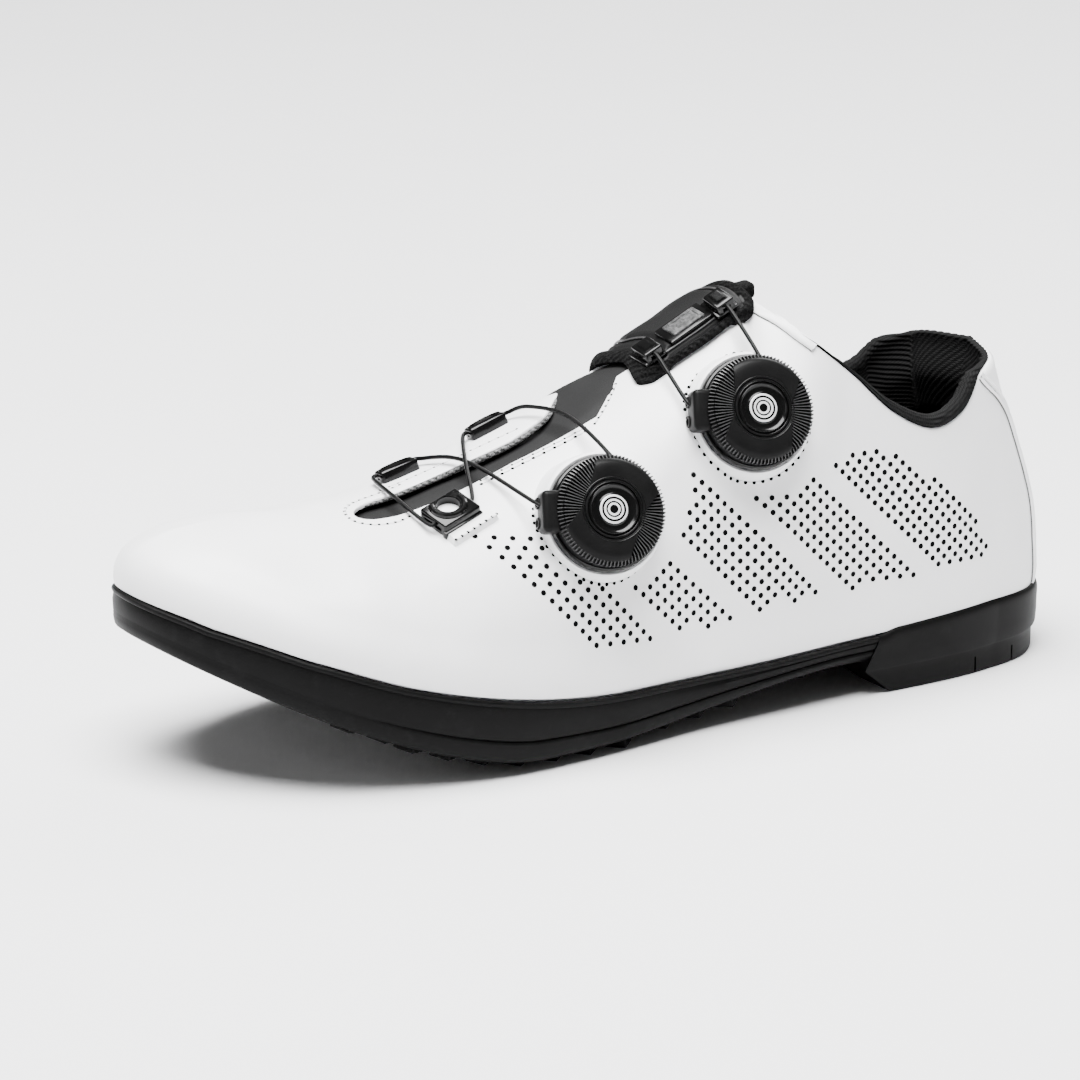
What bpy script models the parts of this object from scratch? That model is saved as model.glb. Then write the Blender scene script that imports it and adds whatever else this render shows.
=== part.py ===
"""Cycling shoe for the left foot with two lace dials: +X to the toe, +Y to the outer side, +Z up, in metres."""

import math
from collections import namedtuple
from functools import lru_cache

import bmesh
import bpy
from mathutils import Matrix, Vector

MM = 0.001

# Driving dimensions of the shoe
SHOE_LENGTH = 288 * MM
BALL_WIDTH = 102 * MM
INSTEP_HEIGHT = 115 * MM
TOE_EDGE_HEIGHT = 50.5 * MM
TOE_SPRING = 41 * MM
ARCH_HEIGHT = 7.5 * MM
GAP = 0.3 * MM

# Sole cup, heel and tread
SIDEWALL = 2.5 * MM
CUP_DEPTH = 5 * MM
EDGE_BAND = 9 * MM
EDGE_LIFT = 2.2 * MM
BEAD_HEIGHT = 1.8 * MM
BEAD_OUT = 0.5 * MM
GROOVE_DEPTH = 0.9 * MM
GROOVE_HEIGHT = 1.3 * MM
HEEL_LIP = 1.3 * MM
HEEL_BLOCK_HEIGHT = 8 * MM
HEEL_BLOCK_INSET = 1.4 * MM
HEEL_BRANCH_WIDTH = 21 * MM
HEEL_RECESS = 5 * MM
HEEL_SLANT = 10 * MM
SEAM_SLANT = 5 * MM
SEAM_X = -71 * MM
LUG_DEPTH = 2.5 * MM
LUG_PITCH = 8.8 * MM
LUG_SIZE = 6.9 * MM
LUG_SINK = 1.2 * MM
CHANNEL_WIDTH = 16 * MM
FLAT_FROM = 0.586
FLAT_TO = 0.655
ARCH_FULL = 0.30

# Pedal pad let into the forefoot
PAD_LENGTH = 71 * MM
PAD_WIDTH = 59 * MM
PAD_CENTRE_SHARE = 0.70
PAD_SHEAR = 0.26
PAD_THICKNESS = 2.6 * MM
PAD_PROUD = 0.9 * MM
PAD_RIM = 2.2 * MM
PAD_RIM_HEIGHT = 0.7 * MM
STUD_DIAMETER = 11.6 * MM
STUD_TOP = 10.4 * MM
STUD_DIMPLE = 6.5 * MM
STUD_DIMPLE_FLOOR = 4.4 * MM
STUD_DIMPLE_DEPTH = 0.8 * MM

# Upper and what is inside it
WALL = 2.2 * MM
BACKSTAY_STEP = 0.5 * MM
LINING_DEPTH = 34 * MM
LINING_PAD = 4.2 * MM
LINING_ROLL = 4.2 * MM
LINING_CLEARANCE = 1.1 * MM
LINING_LIFT = 0.8 * MM
TONGUE_THICKNESS = 3 * MM
TONGUE_HALF_WIDTH = 26 * MM
TONGUE_RISE = 7 * MM
TONGUE_CLEARANCE = 1.2 * MM
INSOLE_THICKNESS = 3 * MM
INSOLE_CLEARANCE = 1.2 * MM
STRAP_THICKNESS = 2.2 * MM

# Lace dials and guides
DIAL_DIAMETER = 30.8 * MM
DIAL_HEIGHT = 8 * MM
DIAL_CAP_DIAMETER = 14.5 * MM
DIAL_CAP_HEIGHT = 1.2 * MM
DIAL_BASE_DIAMETER = 29 * MM
DIAL_BASE_HEIGHT = 2.2 * MM
DIAL_SEAT_DIAMETER = 33 * MM
DIAL_SEAT_HEIGHT = 3.2 * MM
PORT_WIDTH = 10 * MM
PORT_REACH = 3 * MM
PORT_HEIGHT = 4.5 * MM
LACE_DIAMETER = 1.2 * MM
DIAL_SEAT_SINK = 10 * MM
SEAT_CUT_DEPTH = 16 * MM
GUIDE_SINK = 2 * MM
GUIDE_BEVEL = 0.6 * MM
SEAT_CLEARANCE = 0.5 * MM
STRAP_CLEARANCE = 0.6 * MM
STRAP_OUTER = 15.5 * MM
STRAP_INNER = -44 * MM
STRAP_CORNER = 9 * MM

# One row for each station of the sole: where it is from heel to toe, the spine, the fullness of the outer and
# inner halves and the lengths across in ball widths, the sidewall's top edge in toe edge heights, the cup's
# depth in cup depths and how much of the side groove shows
Station = namedtuple("Station", "share spine outer inner edge cup groove")
STATIONS = (
    Station(0.00, 0.000, 0.676, 0.676, 0.366, 1.00, 1.0),
    Station(0.10, 0.000, 0.520, 0.510, 0.388, 1.00, 1.0),
    Station(0.26, 0.000, 0.415, 0.370, 0.349, 0.80, 1.0),
    Station(0.38, 0.000, 0.402, 0.325, 0.325, 0.56, 1.0),
    Station(0.48, 0.000, 0.414, 0.345, 0.323, 0.56, 1.0),
    Station(0.60, -0.005, 0.482, 0.429, 0.352, 0.80, 1.0),
    Station(0.70, -0.016, 0.552, 0.527, 0.440, 0.90, 1.0),
    Station(0.80, -0.032, 0.608, 0.569, 0.578, 0.90, 0.6),
    Station(0.89, -0.055, 0.661, 0.592, 0.758, 0.90, 0.0),
    Station(0.96, -0.078, 0.660, 0.650, 0.903, 0.90, 0.0),
    Station(1.00, -0.085, 0.655, 0.655, 1.000, 0.90, 0.0),
)

# One row for each rib of the upper, from the back of the heel to the toe: its foot round the outline (half
# turns), its top along the shoe (lengths), on the outer and inner side (ball widths) and its height (instep
# heights); and the handles of its curve, upright ones in rib heights and level ones in ball widths
Rib = namedtuple("Rib", "sweep along outer inner height rise flare crown drop")
RIBS = (
    Rib(0.000, -0.441, 0.000, 0.000, 0.790, 0.40, 0.045, 0.080, 0.42),
    Rib(0.065, -0.418, 0.180, -0.180, 0.780, 0.40, 0.045, 0.070, 0.42),
    Rib(0.190, -0.385, 0.248, -0.248, 0.745, 0.40, 0.040, 0.050, 0.40),
    Rib(0.250, -0.357, 0.288, -0.283, 0.678, 0.40, 0.035, 0.035, 0.40),
    Rib(0.305, -0.317, 0.312, -0.302, 0.654, 0.40, 0.030, 0.030, 0.38),
    Rib(0.355, -0.272, 0.302, -0.292, 0.709, 0.40, 0.025, 0.040, 0.35),
    Rib(0.400, -0.228, 0.270, -0.270, 0.817, 0.40, 0.025, 0.060, 0.30),
    Rib(0.440, -0.186, 0.216, -0.240, 0.909, 0.42, 0.025, 0.110, 0.17),
    Rib(0.475, -0.155, -0.020, -0.020, 0.990, 0.45, 0.025, 0.250, 0.03),
    Rib(0.515, -0.103, -0.020, -0.020, 0.925, 0.47, 0.025, 0.260, 0.00),
    Rib(0.560, -0.028, -0.025, -0.025, 0.828, 0.50, 0.030, 0.270, 0.00),
    Rib(0.620, 0.097, -0.030, -0.030, 0.703, 0.52, 0.040, 0.290, 0.00),
    Rib(0.690, 0.214, -0.040, -0.040, 0.612, 0.55, 0.045, 0.310, 0.00),
    Rib(0.770, 0.300, -0.060, -0.060, 0.588, 0.60, 0.035, 0.300, 0.00),
    Rib(0.880, 0.365, -0.080, -0.080, 0.590, 0.70, 0.030, 0.260, 0.00),
    Rib(1.000, 0.405, -0.085, -0.085, 0.588, 0.75, 0.025, 0.200, 0.00),
)

# One row for each corner of the throat, from the instep forwards: the rib, and how far its outer and inner edges
# lie from the ridge, outer side positive, in ball widths
ThroatRow = namedtuple("ThroatRow", "rib outer inner")
THROAT = (
    ThroatRow(8.00, 0.020, -0.120),
    ThroatRow(10.06, 0.020, -0.130),
    ThroatRow(10.32, 0.146, -0.110),
    ThroatRow(10.70, 0.148, 0.012),
    ThroatRow(11.00, 0.146, 0.040),
    ThroatRow(11.50, 0.160, 0.026),
    ThroatRow(12.00, 0.166, 0.030),
    ThroatRow(12.45, 0.150, 0.040),
)

# The dials: the rib and the length below the ridge of the middle of each seat, in ball widths, and the way its
# axis points, in degrees above level and forwards of straight out
Dial = namedtuple("Dial", "name rib reach elevation yaw")
DIALS = (
    Dial("upper", 7.93, 0.430, 24, 12),
    Dial("lower", 10.25, 0.505, 24, 12),
)

# The lace guides: what each stands on, the rib and the reach over the ridge in ball widths, its turn about the
# surface's normal, its length, width and height in millimetres, and the eye through it
Guide = namedtuple("Guide", "name on rib reach turn size eye")
GUIDES = (
    Guide("throat_guide_outer", "upper", 11.56, 0.262, 12, (13, 10.5, 3.6), 6.4),
    Guide("throat_guide_inner_front", "upper", 11.69, -0.105, 0, (12, 5, 3.0), 0),
    Guide("throat_guide_inner_rear", "upper", 10.89, -0.112, 0, (12, 5, 3.0), 0),
    Guide("strap_guide_front", "strap", 9.68, 0.075, -90, (7.5, 6, 3.4), 0),
    Guide("strap_guide_rear", "strap", 8.50, 0.085, -90, (7.5, 6, 3.4), 0),
    Guide("strap_plate", "strap", 9.10, 0.055, 0, (11.5, 8.5, 1.4), 0),
)

# Chosen points of the lower lace: rib, reach over the ridge in ball widths, lift in millimetres
CROSSING = (11.37, 0.073, 2.4)
FRONT_BAR = (12.04, 0.085, 1.8)
REAR_ARC_START = (10.71, -0.030, 3.2)
REAR_ARC_END = (10.52, 0.140, 4.0)

BACKSTAY_RIB = 1
RIB_PITCH = 13 * MM
TONGUE_RIBS = 5
STRAP_BACK = 7.9
STRAP_FRONT = 9.92
STRAP_SLANT = 1.0
STRAP_BACK_SLANT = 0.35
CORNER_RIB = 7.45
RIDGE_RIB = 8
THROAT_RIB = THROAT[-1].rib
THROAT_ROUND = 0.28
LAST_RIB = len(RIBS) - 1
COLUMNS = [0, 0.5, BACKSTAY_RIB, 1.5]
COLUMNS += [2 + k / 2 for k in range(11)]
COLUMNS += [CORNER_RIB, RIDGE_RIB, 8.6, 9.3, 10.06, 10.7, 11.0, 11.5, 12.0, THROAT_RIB]
COLUMNS += [12.9, 13.35, 13.75, 14.15, 14.55, LAST_RIB]


def clean_scene():
    """Removes the objects that the file starts with."""
    for old in list(bpy.data.objects):
        bpy.data.objects.remove(old, do_unlink=True)


def collection(name):
    """A new collection linked to the scene."""
    made = bpy.data.collections.new(name)
    bpy.context.scene.collection.children.link(made)
    return made


clean_scene()
SHOE = collection("cycling_shoe")
CUTTERS = collection("cutters")


def material(name, colour, roughness, metallic=0.0):
    """A Principled material with one colour."""
    made = bpy.data.materials.new(name)
    made.use_nodes = True
    shader = made.node_tree.nodes["Principled BSDF"]
    shader.inputs["Base Color"].default_value = (*colour, 1)
    shader.inputs["Roughness"].default_value = roughness
    shader.inputs["Metallic"].default_value = metallic
    return made


LEATHER = material("white_leather", (0.82, 0.82, 0.81), 0.45)
RUBBER = material("black_rubber", (0.018, 0.018, 0.019), 0.45)
PAD_GREY = material("grey_pad", (0.36, 0.36, 0.37), 0.5)
KNIT = material("black_knit", (0.012, 0.012, 0.013), 0.9)
TONGUE_GREY = material("dark_grey_synthetic", (0.045, 0.045, 0.047), 0.6)
FOAM = material("insole_foam", (0.06, 0.06, 0.065), 0.9)
STRAP_BLACK = material("black_strap", (0.016, 0.016, 0.017), 0.5)
PLATE_GREY = material("grey_plate", (0.22, 0.22, 0.22), 0.4)
PLASTIC = material("black_plastic", (0.012, 0.012, 0.013), 0.3)
SILVER = material("silver_disc", (0.75, 0.75, 0.76), 0.3, 0.9)
WIRE = material("black_lace", (0.01, 0.01, 0.01), 0.45)


# Reading the tables


def mixed(rows, place):
    """The row at a place between two rows, on a smooth curve through the table."""
    low = max(0, min(len(rows) - 2, math.floor(place)))
    part = place - low
    first, second = rows[low], rows[low + 1]
    values = []
    for k in range(len(first)):
        before = rows[low - 1][k] if low > 0 else 2 * first[k] - second[k]
        after = rows[low + 2][k] if low + 2 < len(rows) else 2 * second[k] - first[k]
        start, end = (second[k] - before) / 2, (after - first[k]) / 2
        rise = second[k] - first[k]
        curve = (3 * rise - 2 * start - end) * part**2 + (start + end - 2 * rise) * part**3
        values.append(first[k] + start * part + curve)
    return type(first)(*values)


def station(share):
    """The sole's section at a share of the length."""
    share = max(0.0, min(1.0, share))
    low = max(k for k in range(len(STATIONS) - 1) if STATIONS[k].share <= share)
    step = STATIONS[low + 1].share - STATIONS[low].share
    return mixed(STATIONS, low + (share - STATIONS[low].share) / step)


def smooth_step(low, high, value):
    part = max(0.0, min(1.0, (value - low) / (high - low)))
    return part * part * (3 - 2 * part)


# Sole


def share_of(sweep):
    """Half a turn round the outline, from heel to toe, as a share of the length."""
    return (1 - math.cos(math.pi * sweep)) / 2


def outline(side, sweep, inset, height=0.0):
    """The sole's outline at one sweep, moved in by an inset."""
    share = share_of(sweep)
    row = station(share)
    fullness = (row.outer if side > 0 else row.inner) * BALL_WIDTH - inset
    x = (share - 0.5) * (SHOE_LENGTH - 2 * inset)
    y = row.spine * BALL_WIDTH + side * fullness * math.sin(math.pi * sweep)
    return Vector((x, y, height))


def tread_height(x):
    """The plane that the lugs reach, flat under the ball, rising in the arch and to the toe."""
    share = x / SHOE_LENGTH + 0.5
    arch = ARCH_HEIGHT * smooth_step(FLAT_FROM, ARCH_FULL, share)
    toe = TOE_SPRING * max(0.0, (share - FLAT_TO) / (1 - FLAT_TO)) ** 1.5
    return arch + toe


def base_height(x):
    """The underside between the lugs."""
    return tread_height(x) + LUG_DEPTH


def edge_height(sweep):
    return station(share_of(sweep)).edge * TOE_EDGE_HEIGHT


def floor_height(sweep):
    """The cup's floor, on which the upper and the insole stand."""
    return edge_height(sweep) - station(share_of(sweep)).cup * CUP_DEPTH


def tread_wall(side, sweep):
    """The outer wall below the groove on the front piece: insets and heights from the underside up."""
    base = base_height(outline(side, sweep, EDGE_BAND).x)
    return [(EDGE_BAND, base), (2.2 * MM, base + 0.6 * MM), (0.4 * MM, base + EDGE_LIFT)]


def block_wall(side, sweep):
    """The same stretch on the heel, with the raised block round its recess."""
    branch = HEEL_BLOCK_INSET + HEEL_BRANCH_WIDTH
    chamfer = 0.8 * MM
    return [
        (branch + chamfer, HEEL_RECESS),
        (branch, 0.0),
        (HEEL_BLOCK_INSET + chamfer, 0.0),
        (HEEL_BLOCK_INSET, chamfer),
        (HEEL_BLOCK_INSET, HEEL_BLOCK_HEIGHT - chamfer),
        (0.3 * MM, HEEL_BLOCK_HEIGHT),
    ]


def round_the_sole():
    """Side and sweep of each column round the sole, below the upper's own, and how many lie on one side."""
    sweeps = [mixed(RIBS, place).sweep for place in COLUMNS]
    return [(1, sweep) for sweep in sweeps] + [(-1, sweep) for sweep in sweeps[-2:0:-1]], len(sweeps) - 1


def cup_loops(lower_wall, lip):
    """Closed loops from the underside up over the sidewall and down to the cup's floor."""
    halves, steps = round_the_sole()
    columns = []
    for side, sweep in halves:
        top = edge_height(sweep) + lip
        wall = lower_wall(side, sweep)
        groove = station(share_of(sweep)).groove * GROOVE_DEPTH
        middle = wall[-1][1] + 0.42 * (top - wall[-1][1])
        wall += [
            (0.0, middle - GROOVE_HEIGHT / 2),
            (groove, middle),
            (0.0, middle + GROOVE_HEIGHT / 2),
            (0.0, top - BEAD_HEIGHT),
            (-BEAD_OUT, top - 0.6 * BEAD_HEIGHT),
            (0.3 * MM, top),
            (SIDEWALL, top),
            (SIDEWALL, floor_height(sweep)),
        ]
        columns.append([outline(side, sweep, inset, height) for inset, height in wall])
    return [list(loop) for loop in zip(*columns)], steps


def mesh_object(name, mesh_data, surface, where=None):
    """Turns a bmesh into an object of the shoe, shaded smooth but for its edges."""
    mesh = bpy.data.meshes.new(name)
    bmesh.ops.triangulate(mesh_data, faces=mesh_data.faces)
    mesh_data.to_mesh(mesh)
    mesh_data.free()
    mesh.shade_smooth()
    mesh.set_sharp_from_angle(angle=math.radians(38))
    made = bpy.data.objects.new(name, mesh)
    made.data.materials.append(surface)
    (where or SHOE).objects.link(made)
    return made


def as_cutter(made):
    """Moves an object to the cutters."""
    for home in list(made.users_collection):
        home.objects.unlink(made)
    CUTTERS.objects.link(made)
    made.hide_render = True
    made.display_type = "WIRE"
    return made


def cut(target, cutter, operation="DIFFERENCE"):
    """Cuts an object with another, or joins it on."""
    change = target.modifiers.new(operation.lower(), "BOOLEAN")
    change.object = as_cutter(cutter)
    change.operation = operation
    change.solver = "EXACT"


def strip_cap(mesh_data, loop, steps, reverse):
    """Closes a loop round the sole by strips from side to side."""
    count = len(loop)
    for k in range(steps):
        corners = [loop[k], loop[k + 1], loop[(count - k - 1) % count], loop[(count - k) % count]]
        face = [corner for n, corner in enumerate(corners) if corner not in corners[:n]]
        mesh_data.faces.new(face[::-1] if reverse else face)


def loops_solid(name, loops, steps, surface):
    """A solid through closed loops round the sole, capped at the first and the last."""
    data = bmesh.new()
    rings = [[data.verts.new(point) for point in loop] for loop in loops]
    for low, high in zip(rings, rings[1:]):
        for k in range(len(low)):
            after = (k + 1) % len(low)
            data.faces.new((low[k], low[after], high[after], high[k]))
    strip_cap(data, rings[0], steps, True)
    strip_cap(data, rings[-1], steps, False)
    bmesh.ops.recalc_face_normals(data, faces=data.faces)
    return mesh_object(name, data, surface)


def side_prism(name, corners, half_width):
    """A cutter with an outline in X and Z, through the whole width."""
    data = bmesh.new()
    near = [data.verts.new((x, -half_width, z)) for x, z in corners]
    far = [data.verts.new((x, half_width, z)) for x, z in corners]
    data.faces.new(near)
    data.faces.new(far[::-1])
    for k in range(len(near)):
        after = (k + 1) % len(near)
        data.faces.new((near[k], far[k], far[after], near[after]))
    bmesh.ops.recalc_face_normals(data, faces=data.faces)
    return mesh_object(name, data, RUBBER)


def seam_line(shift):
    """The line between sole and heel, top to bottom, and the heel block's slanted front."""
    nose = SEAM_X + SEAM_SLANT + shift
    top = 2 * TOE_EDGE_HEIGHT
    return [
        (SEAM_X + shift, top),
        (SEAM_X + shift, 0.35 * TOE_EDGE_HEIGHT),
        (nose, HEEL_BLOCK_HEIGHT),
        (nose - HEEL_SLANT, 0.0),
        (nose - HEEL_SLANT, -CUP_DEPTH),
    ]


def pad_outline(grow):
    """The pad's outline on the ground plane: a sheared rounded rectangle with bulging sides."""
    centre = (PAD_CENTRE_SHARE - 0.5) * SHOE_LENGTH
    spine = station(PAD_CENTRE_SHARE).spine * BALL_WIDTH
    count = 28
    points = []
    for k in range(count):
        turn = 2 * math.pi * (k + 0.5) / count
        across = math.copysign(abs(math.cos(turn)) ** 0.42, math.cos(turn)) * (PAD_WIDTH / 2 + grow)
        along = math.copysign(abs(math.sin(turn)) ** 0.42, math.sin(turn)) * (PAD_LENGTH / 2 + grow)
        points.append(Vector((centre + along - PAD_SHEAR * across, spine + across, 0)))
    return points


def inside(point, corners):
    """Whether a point is inside an outline on the ground plane."""
    found = False
    for k in range(len(corners)):
        a, b = corners[k - 1], corners[k]
        crosses = (a.y > point.y) != (b.y > point.y)
        if crosses and point.x < a.x + (b.x - a.x) * (point.y - a.y) / (b.y - a.y):
            found = not found
    return found


def lug_places():
    """The middles of the lugs: a diagonal lattice inside the edge band, clear of pad, channel and heel."""
    keep_off = pad_outline(0.95 * LUG_SIZE)
    sweeps = [k / 60 for k in range(61)]
    border = [outline(1, s, EDGE_BAND + 0.2 * LUG_SIZE) for s in sweeps]
    border += [outline(-1, s, EDGE_BAND + 0.2 * LUG_SIZE) for s in reversed(sweeps[1:-1])]
    front = (0.915 - 0.5) * SHOE_LENGTH
    back = SEAM_X + 14 * MM
    places = []
    reach = math.ceil(SHOE_LENGTH / LUG_PITCH)
    for i in range(-reach, reach + 1):
        for j in range(-reach, reach + 1):
            x = (i + j) * LUG_PITCH * math.sqrt(0.5)
            y = (i - j) * LUG_PITCH * math.sqrt(0.5)
            point = Vector((x, y, 0))
            channel = abs(y) < CHANNEL_WIDTH / 2 and x < 0.02 * SHOE_LENGTH
            if back < x < front and not channel and inside(point, border) and not inside(point, keep_off):
                places.append(point)
    return places


def lugs(name):
    """Square lugs, set on their corners, with their tops on the tread plane."""
    half = LUG_SIZE / 2
    corners = [(-half, -half), (half, -half), (half, half), (-half, half)]
    turn = Matrix.Rotation(math.radians(-135), 2)
    data = bmesh.new()
    for middle in lug_places():
        bottom, top = [], []
        for corner in corners:
            x, y = turn @ Vector(corner)
            spot = Vector((middle.x + x, middle.y + y))
            bottom.append(data.verts.new((spot.x, spot.y, tread_height(spot.x))))
            top.append(data.verts.new((spot.x, spot.y, base_height(spot.x) + LUG_SINK)))
        data.faces.new(bottom)
        data.faces.new(top[::-1])
        for k in range(len(corners)):
            after = (k + 1) % len(corners)
            data.faces.new((bottom[k], top[k], top[after], bottom[after]))
    bmesh.ops.recalc_face_normals(data, faces=data.faces)
    return mesh_object(name, data, RUBBER)


def pad_solid(name, grow, below, above, surface, rim):
    """A slab with the pad's outline that follows the underside, its rim raised downwards."""
    loops = []
    rings = ((1.0, rim), (1 - 1.6 * PAD_RIM / PAD_WIDTH, rim), (1 - 2.6 * PAD_RIM / PAD_WIDTH, 0.0), (0.5, 0.0))
    edge = pad_outline(grow)
    centre = sum(edge, Vector()) / len(edge)
    for scale, drop in rings:
        flat = [centre.lerp(point, scale) for point in edge]
        loops.append([Vector((p.x, p.y, base_height(p.x) - below - drop)) for p in flat])
    upper = []
    for scale in (1.0, 0.5):
        flat = [centre.lerp(point, scale) for point in edge]
        upper.append([Vector((p.x, p.y, base_height(p.x) + above)) for p in flat])
    loops = upper[::-1] + loops
    data = bmesh.new()
    made = [[data.verts.new(point) for point in loop] for loop in loops]
    for low, high in zip(made, made[1:]):
        for k in range(len(low)):
            after = (k + 1) % len(low)
            data.faces.new((low[k], low[after], high[after], high[k]))
    for ring in (made[0], made[-1]):
        middle = data.verts.new(sum((vert.co for vert in ring), Vector()) / len(ring))
        for k in range(len(ring)):
            data.faces.new((ring[k], ring[(k + 1) % len(ring)], middle))
    bmesh.ops.recalc_face_normals(data, faces=data.faces)
    return mesh_object(name, data, surface)


def stud_places():
    """Four rows of four studs, sheared with the pad."""
    centre = (PAD_CENTRE_SHARE - 0.5) * SHOE_LENGTH
    spine = station(PAD_CENTRE_SHARE).spine * BALL_WIDTH
    places = []
    for row in range(4):
        for column in range(4):
            across = (column - 1.5) * 0.262 * PAD_WIDTH
            along = (row - 1.5) * 0.262 * PAD_LENGTH
            places.append(Vector((centre + along - PAD_SHEAR * across, spine + across, 0)))
    return places


def studs(name):
    """Round studs with a dished top, down to the tread plane."""
    sides = 8
    data = bmesh.new()
    for middle in stud_places():
        low = tread_height(middle.x)
        root = base_height(middle.x) - PAD_PROUD + 0.8 * MM
        slope = (base_height(middle.x + MM) - base_height(middle.x - MM)) / (2 * MM)
        ends = [STUD_DIAMETER / 2, STUD_TOP / 2, STUD_DIMPLE / 2, STUD_DIMPLE_FLOOR / 2]
        loops = []
        for n, radius in enumerate(ends):
            loop = []
            for k in range(sides):
                turn = 2 * math.pi * k / sides
                x, y = middle.x + radius * math.cos(turn), middle.y + radius * math.sin(turn)
                height = (root + slope * (x - middle.x), low, low, low + STUD_DIMPLE_DEPTH)[n]
                loop.append(data.verts.new((x, y, height)))
            loops.append(loop)
        for one, other in zip(loops, loops[1:]):
            for k in range(sides):
                after = (k + 1) % sides
                data.faces.new((one[k], one[after], other[after], other[k]))
        data.faces.new(loops[0][::-1])
        data.faces.new(loops[-1])
    bmesh.ops.recalc_face_normals(data, faces=data.faces)
    return mesh_object(name, data, PAD_GREY)


def make_sole():
    """Cup sole with its tread, heel cup with its block, and the pedal pad."""
    reach = SHOE_LENGTH
    loops, steps = cup_loops(tread_wall, 0.0)
    sole = loops_solid("sole", loops, steps, RUBBER)
    cut(sole, side_prism("sole_back_cutter", seam_line(0.0) + [(-reach, -CUP_DEPTH), (-reach, reach)], reach))
    cut(sole, pad_solid("pad_pocket", GAP, CUP_DEPTH, PAD_THICKNESS - PAD_PROUD + GAP, RUBBER, 0.0))
    cut(sole, lugs("lug_blocks"), "UNION")
    loops, steps = cup_loops(block_wall, HEEL_LIP)
    heel = loops_solid("heel", loops, steps, RUBBER)
    cut(heel, side_prism("heel_front_cutter", seam_line(-GAP) + [(reach, -CUP_DEPTH), (reach, reach)], reach))
    above = PAD_THICKNESS - PAD_PROUD
    pad = pad_solid("pedal_pad", 0.0, PAD_PROUD, above, PAD_GREY, PAD_RIM_HEIGHT)
    cut(pad, studs("pad_studs"), "UNION")


# Upper


def rib_row(place):
    """The upper's rib at a place, its top on one ridge where the two sides meet."""
    row = mixed(RIBS, place)
    if place >= RIDGE_RIB:
        ridge = (row.outer + row.inner) / 2
        row = row._replace(outer=ridge, inner=ridge)
    return row


def heading(side, sweep):
    """The level direction in which the outline faces at a sweep."""
    return Vector((-math.cos(math.pi * sweep), side * math.sin(math.pi * sweep), 0))


def rib_top(side, place):
    """The rib's upper end, on the topline or on the ridge."""
    row = rib_row(place)
    across = row.outer if side > 0 else row.inner
    return Vector((row.along * SHOE_LENGTH, across * BALL_WIDTH, row.height * INSTEP_HEIGHT))


@lru_cache(maxsize=None)
def rib_points(side, place):
    """Points up a rib, from the sole's edge to its top, with the length from the top to each."""
    row = rib_row(place)
    foot = outline(side, row.sweep, SIDEWALL + GAP, edge_height(row.sweep))
    top = rib_top(side, place)
    facing = heading(side, row.sweep)
    ahead, behind = rib_top(side, min(place + 0.1, LAST_RIB)), rib_top(side, place - 0.1 if place > 0.1 else 0)
    level = ahead.x - behind.x
    slope = (ahead.z - behind.z) / level if abs(level) > 1e-6 else 0.0
    slope *= smooth_step(RIDGE_RIB - 0.6, RIDGE_RIB, place)
    tall = top.z - foot.z
    first = foot + facing * row.flare * BALL_WIDTH + Vector((0, 0, row.rise * tall))
    side_step = facing * row.crown * BALL_WIDTH
    second = top + side_step + Vector((0, 0, side_step.x * slope - row.drop * tall))
    points = []
    count = 32
    for k in range(count + 1):
        t = k / count
        a, b, c, d = (1 - t) ** 3, 3 * t * (1 - t) ** 2, 3 * t * t * (1 - t), t**3
        points.append(a * foot + b * first + c * second + d * top)
    down = [0.0]
    for k in range(count, 0, -1):
        down.append(down[-1] + (points[k] - points[k - 1]).length)
    return points[::-1], down


def rib_length(side, place):
    return rib_points(side, place)[1][-1]


def on_rib(side, place, down):
    """The point a given length down from the rib's top, or past the ridge on the other side."""
    if down < 0 and place >= RIDGE_RIB:
        return on_rib(-side, place, -down)
    points, lengths = rib_points(side, place)
    if down <= 0:
        return points[0] + (points[0] - points[1]).normalized() * -down
    for k in range(1, len(points)):
        if down <= lengths[k]:
            part = (down - lengths[k - 1]) / (lengths[k] - lengths[k - 1])
            return points[k - 1].lerp(points[k], part)
    return points[-1] + (points[-1] - points[-2]).normalized() * (down - lengths[-1])


def outward(side, place, down):
    """The upper's outward normal."""
    step = 0.04
    first, last = (RIDGE_RIB, LAST_RIB) if place >= RIDGE_RIB else (0.0, RIDGE_RIB - step)
    low, high = max(first, place - step), min(last, place + step)
    along = on_rib(side, high, down) - on_rib(side, low, down)
    upward = on_rib(side, place, down - 1 * MM) - on_rib(side, place, down + 1 * MM)
    return (upward.cross(along) * side).normalized()


def surface(side, place, down, lift=0.0):
    """A point of the upper's outer face, moved out by a lift."""
    normal = outward(side, place, down)
    if place <= 0 or place >= LAST_RIB:
        normal = Vector((normal.x, 0, normal.z)).normalized()
    return on_rib(side, place, down) + normal * lift


def across(place, reach, lift=0.0):
    """A point over the ridge: reach is the length from it, outer side positive."""
    if abs(reach) < 0.01 * MM:
        return (surface(1, place, 0, lift) + surface(-1, place, 0, lift)) / 2
    return surface(1 if reach > 0 else -1, place, abs(reach), lift)


def throat_row(place):
    """The throat's edges at a rib, straight from corner to corner."""
    low = max(k for k in range(len(THROAT) - 1) if THROAT[k].rib <= place or k == 0)
    part = max(0.0, (place - THROAT[low].rib) / (THROAT[low + 1].rib - THROAT[low].rib))
    return ThroatRow(*(a + (b - a) * part for a, b in zip(THROAT[low], THROAT[low + 1])))


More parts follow.
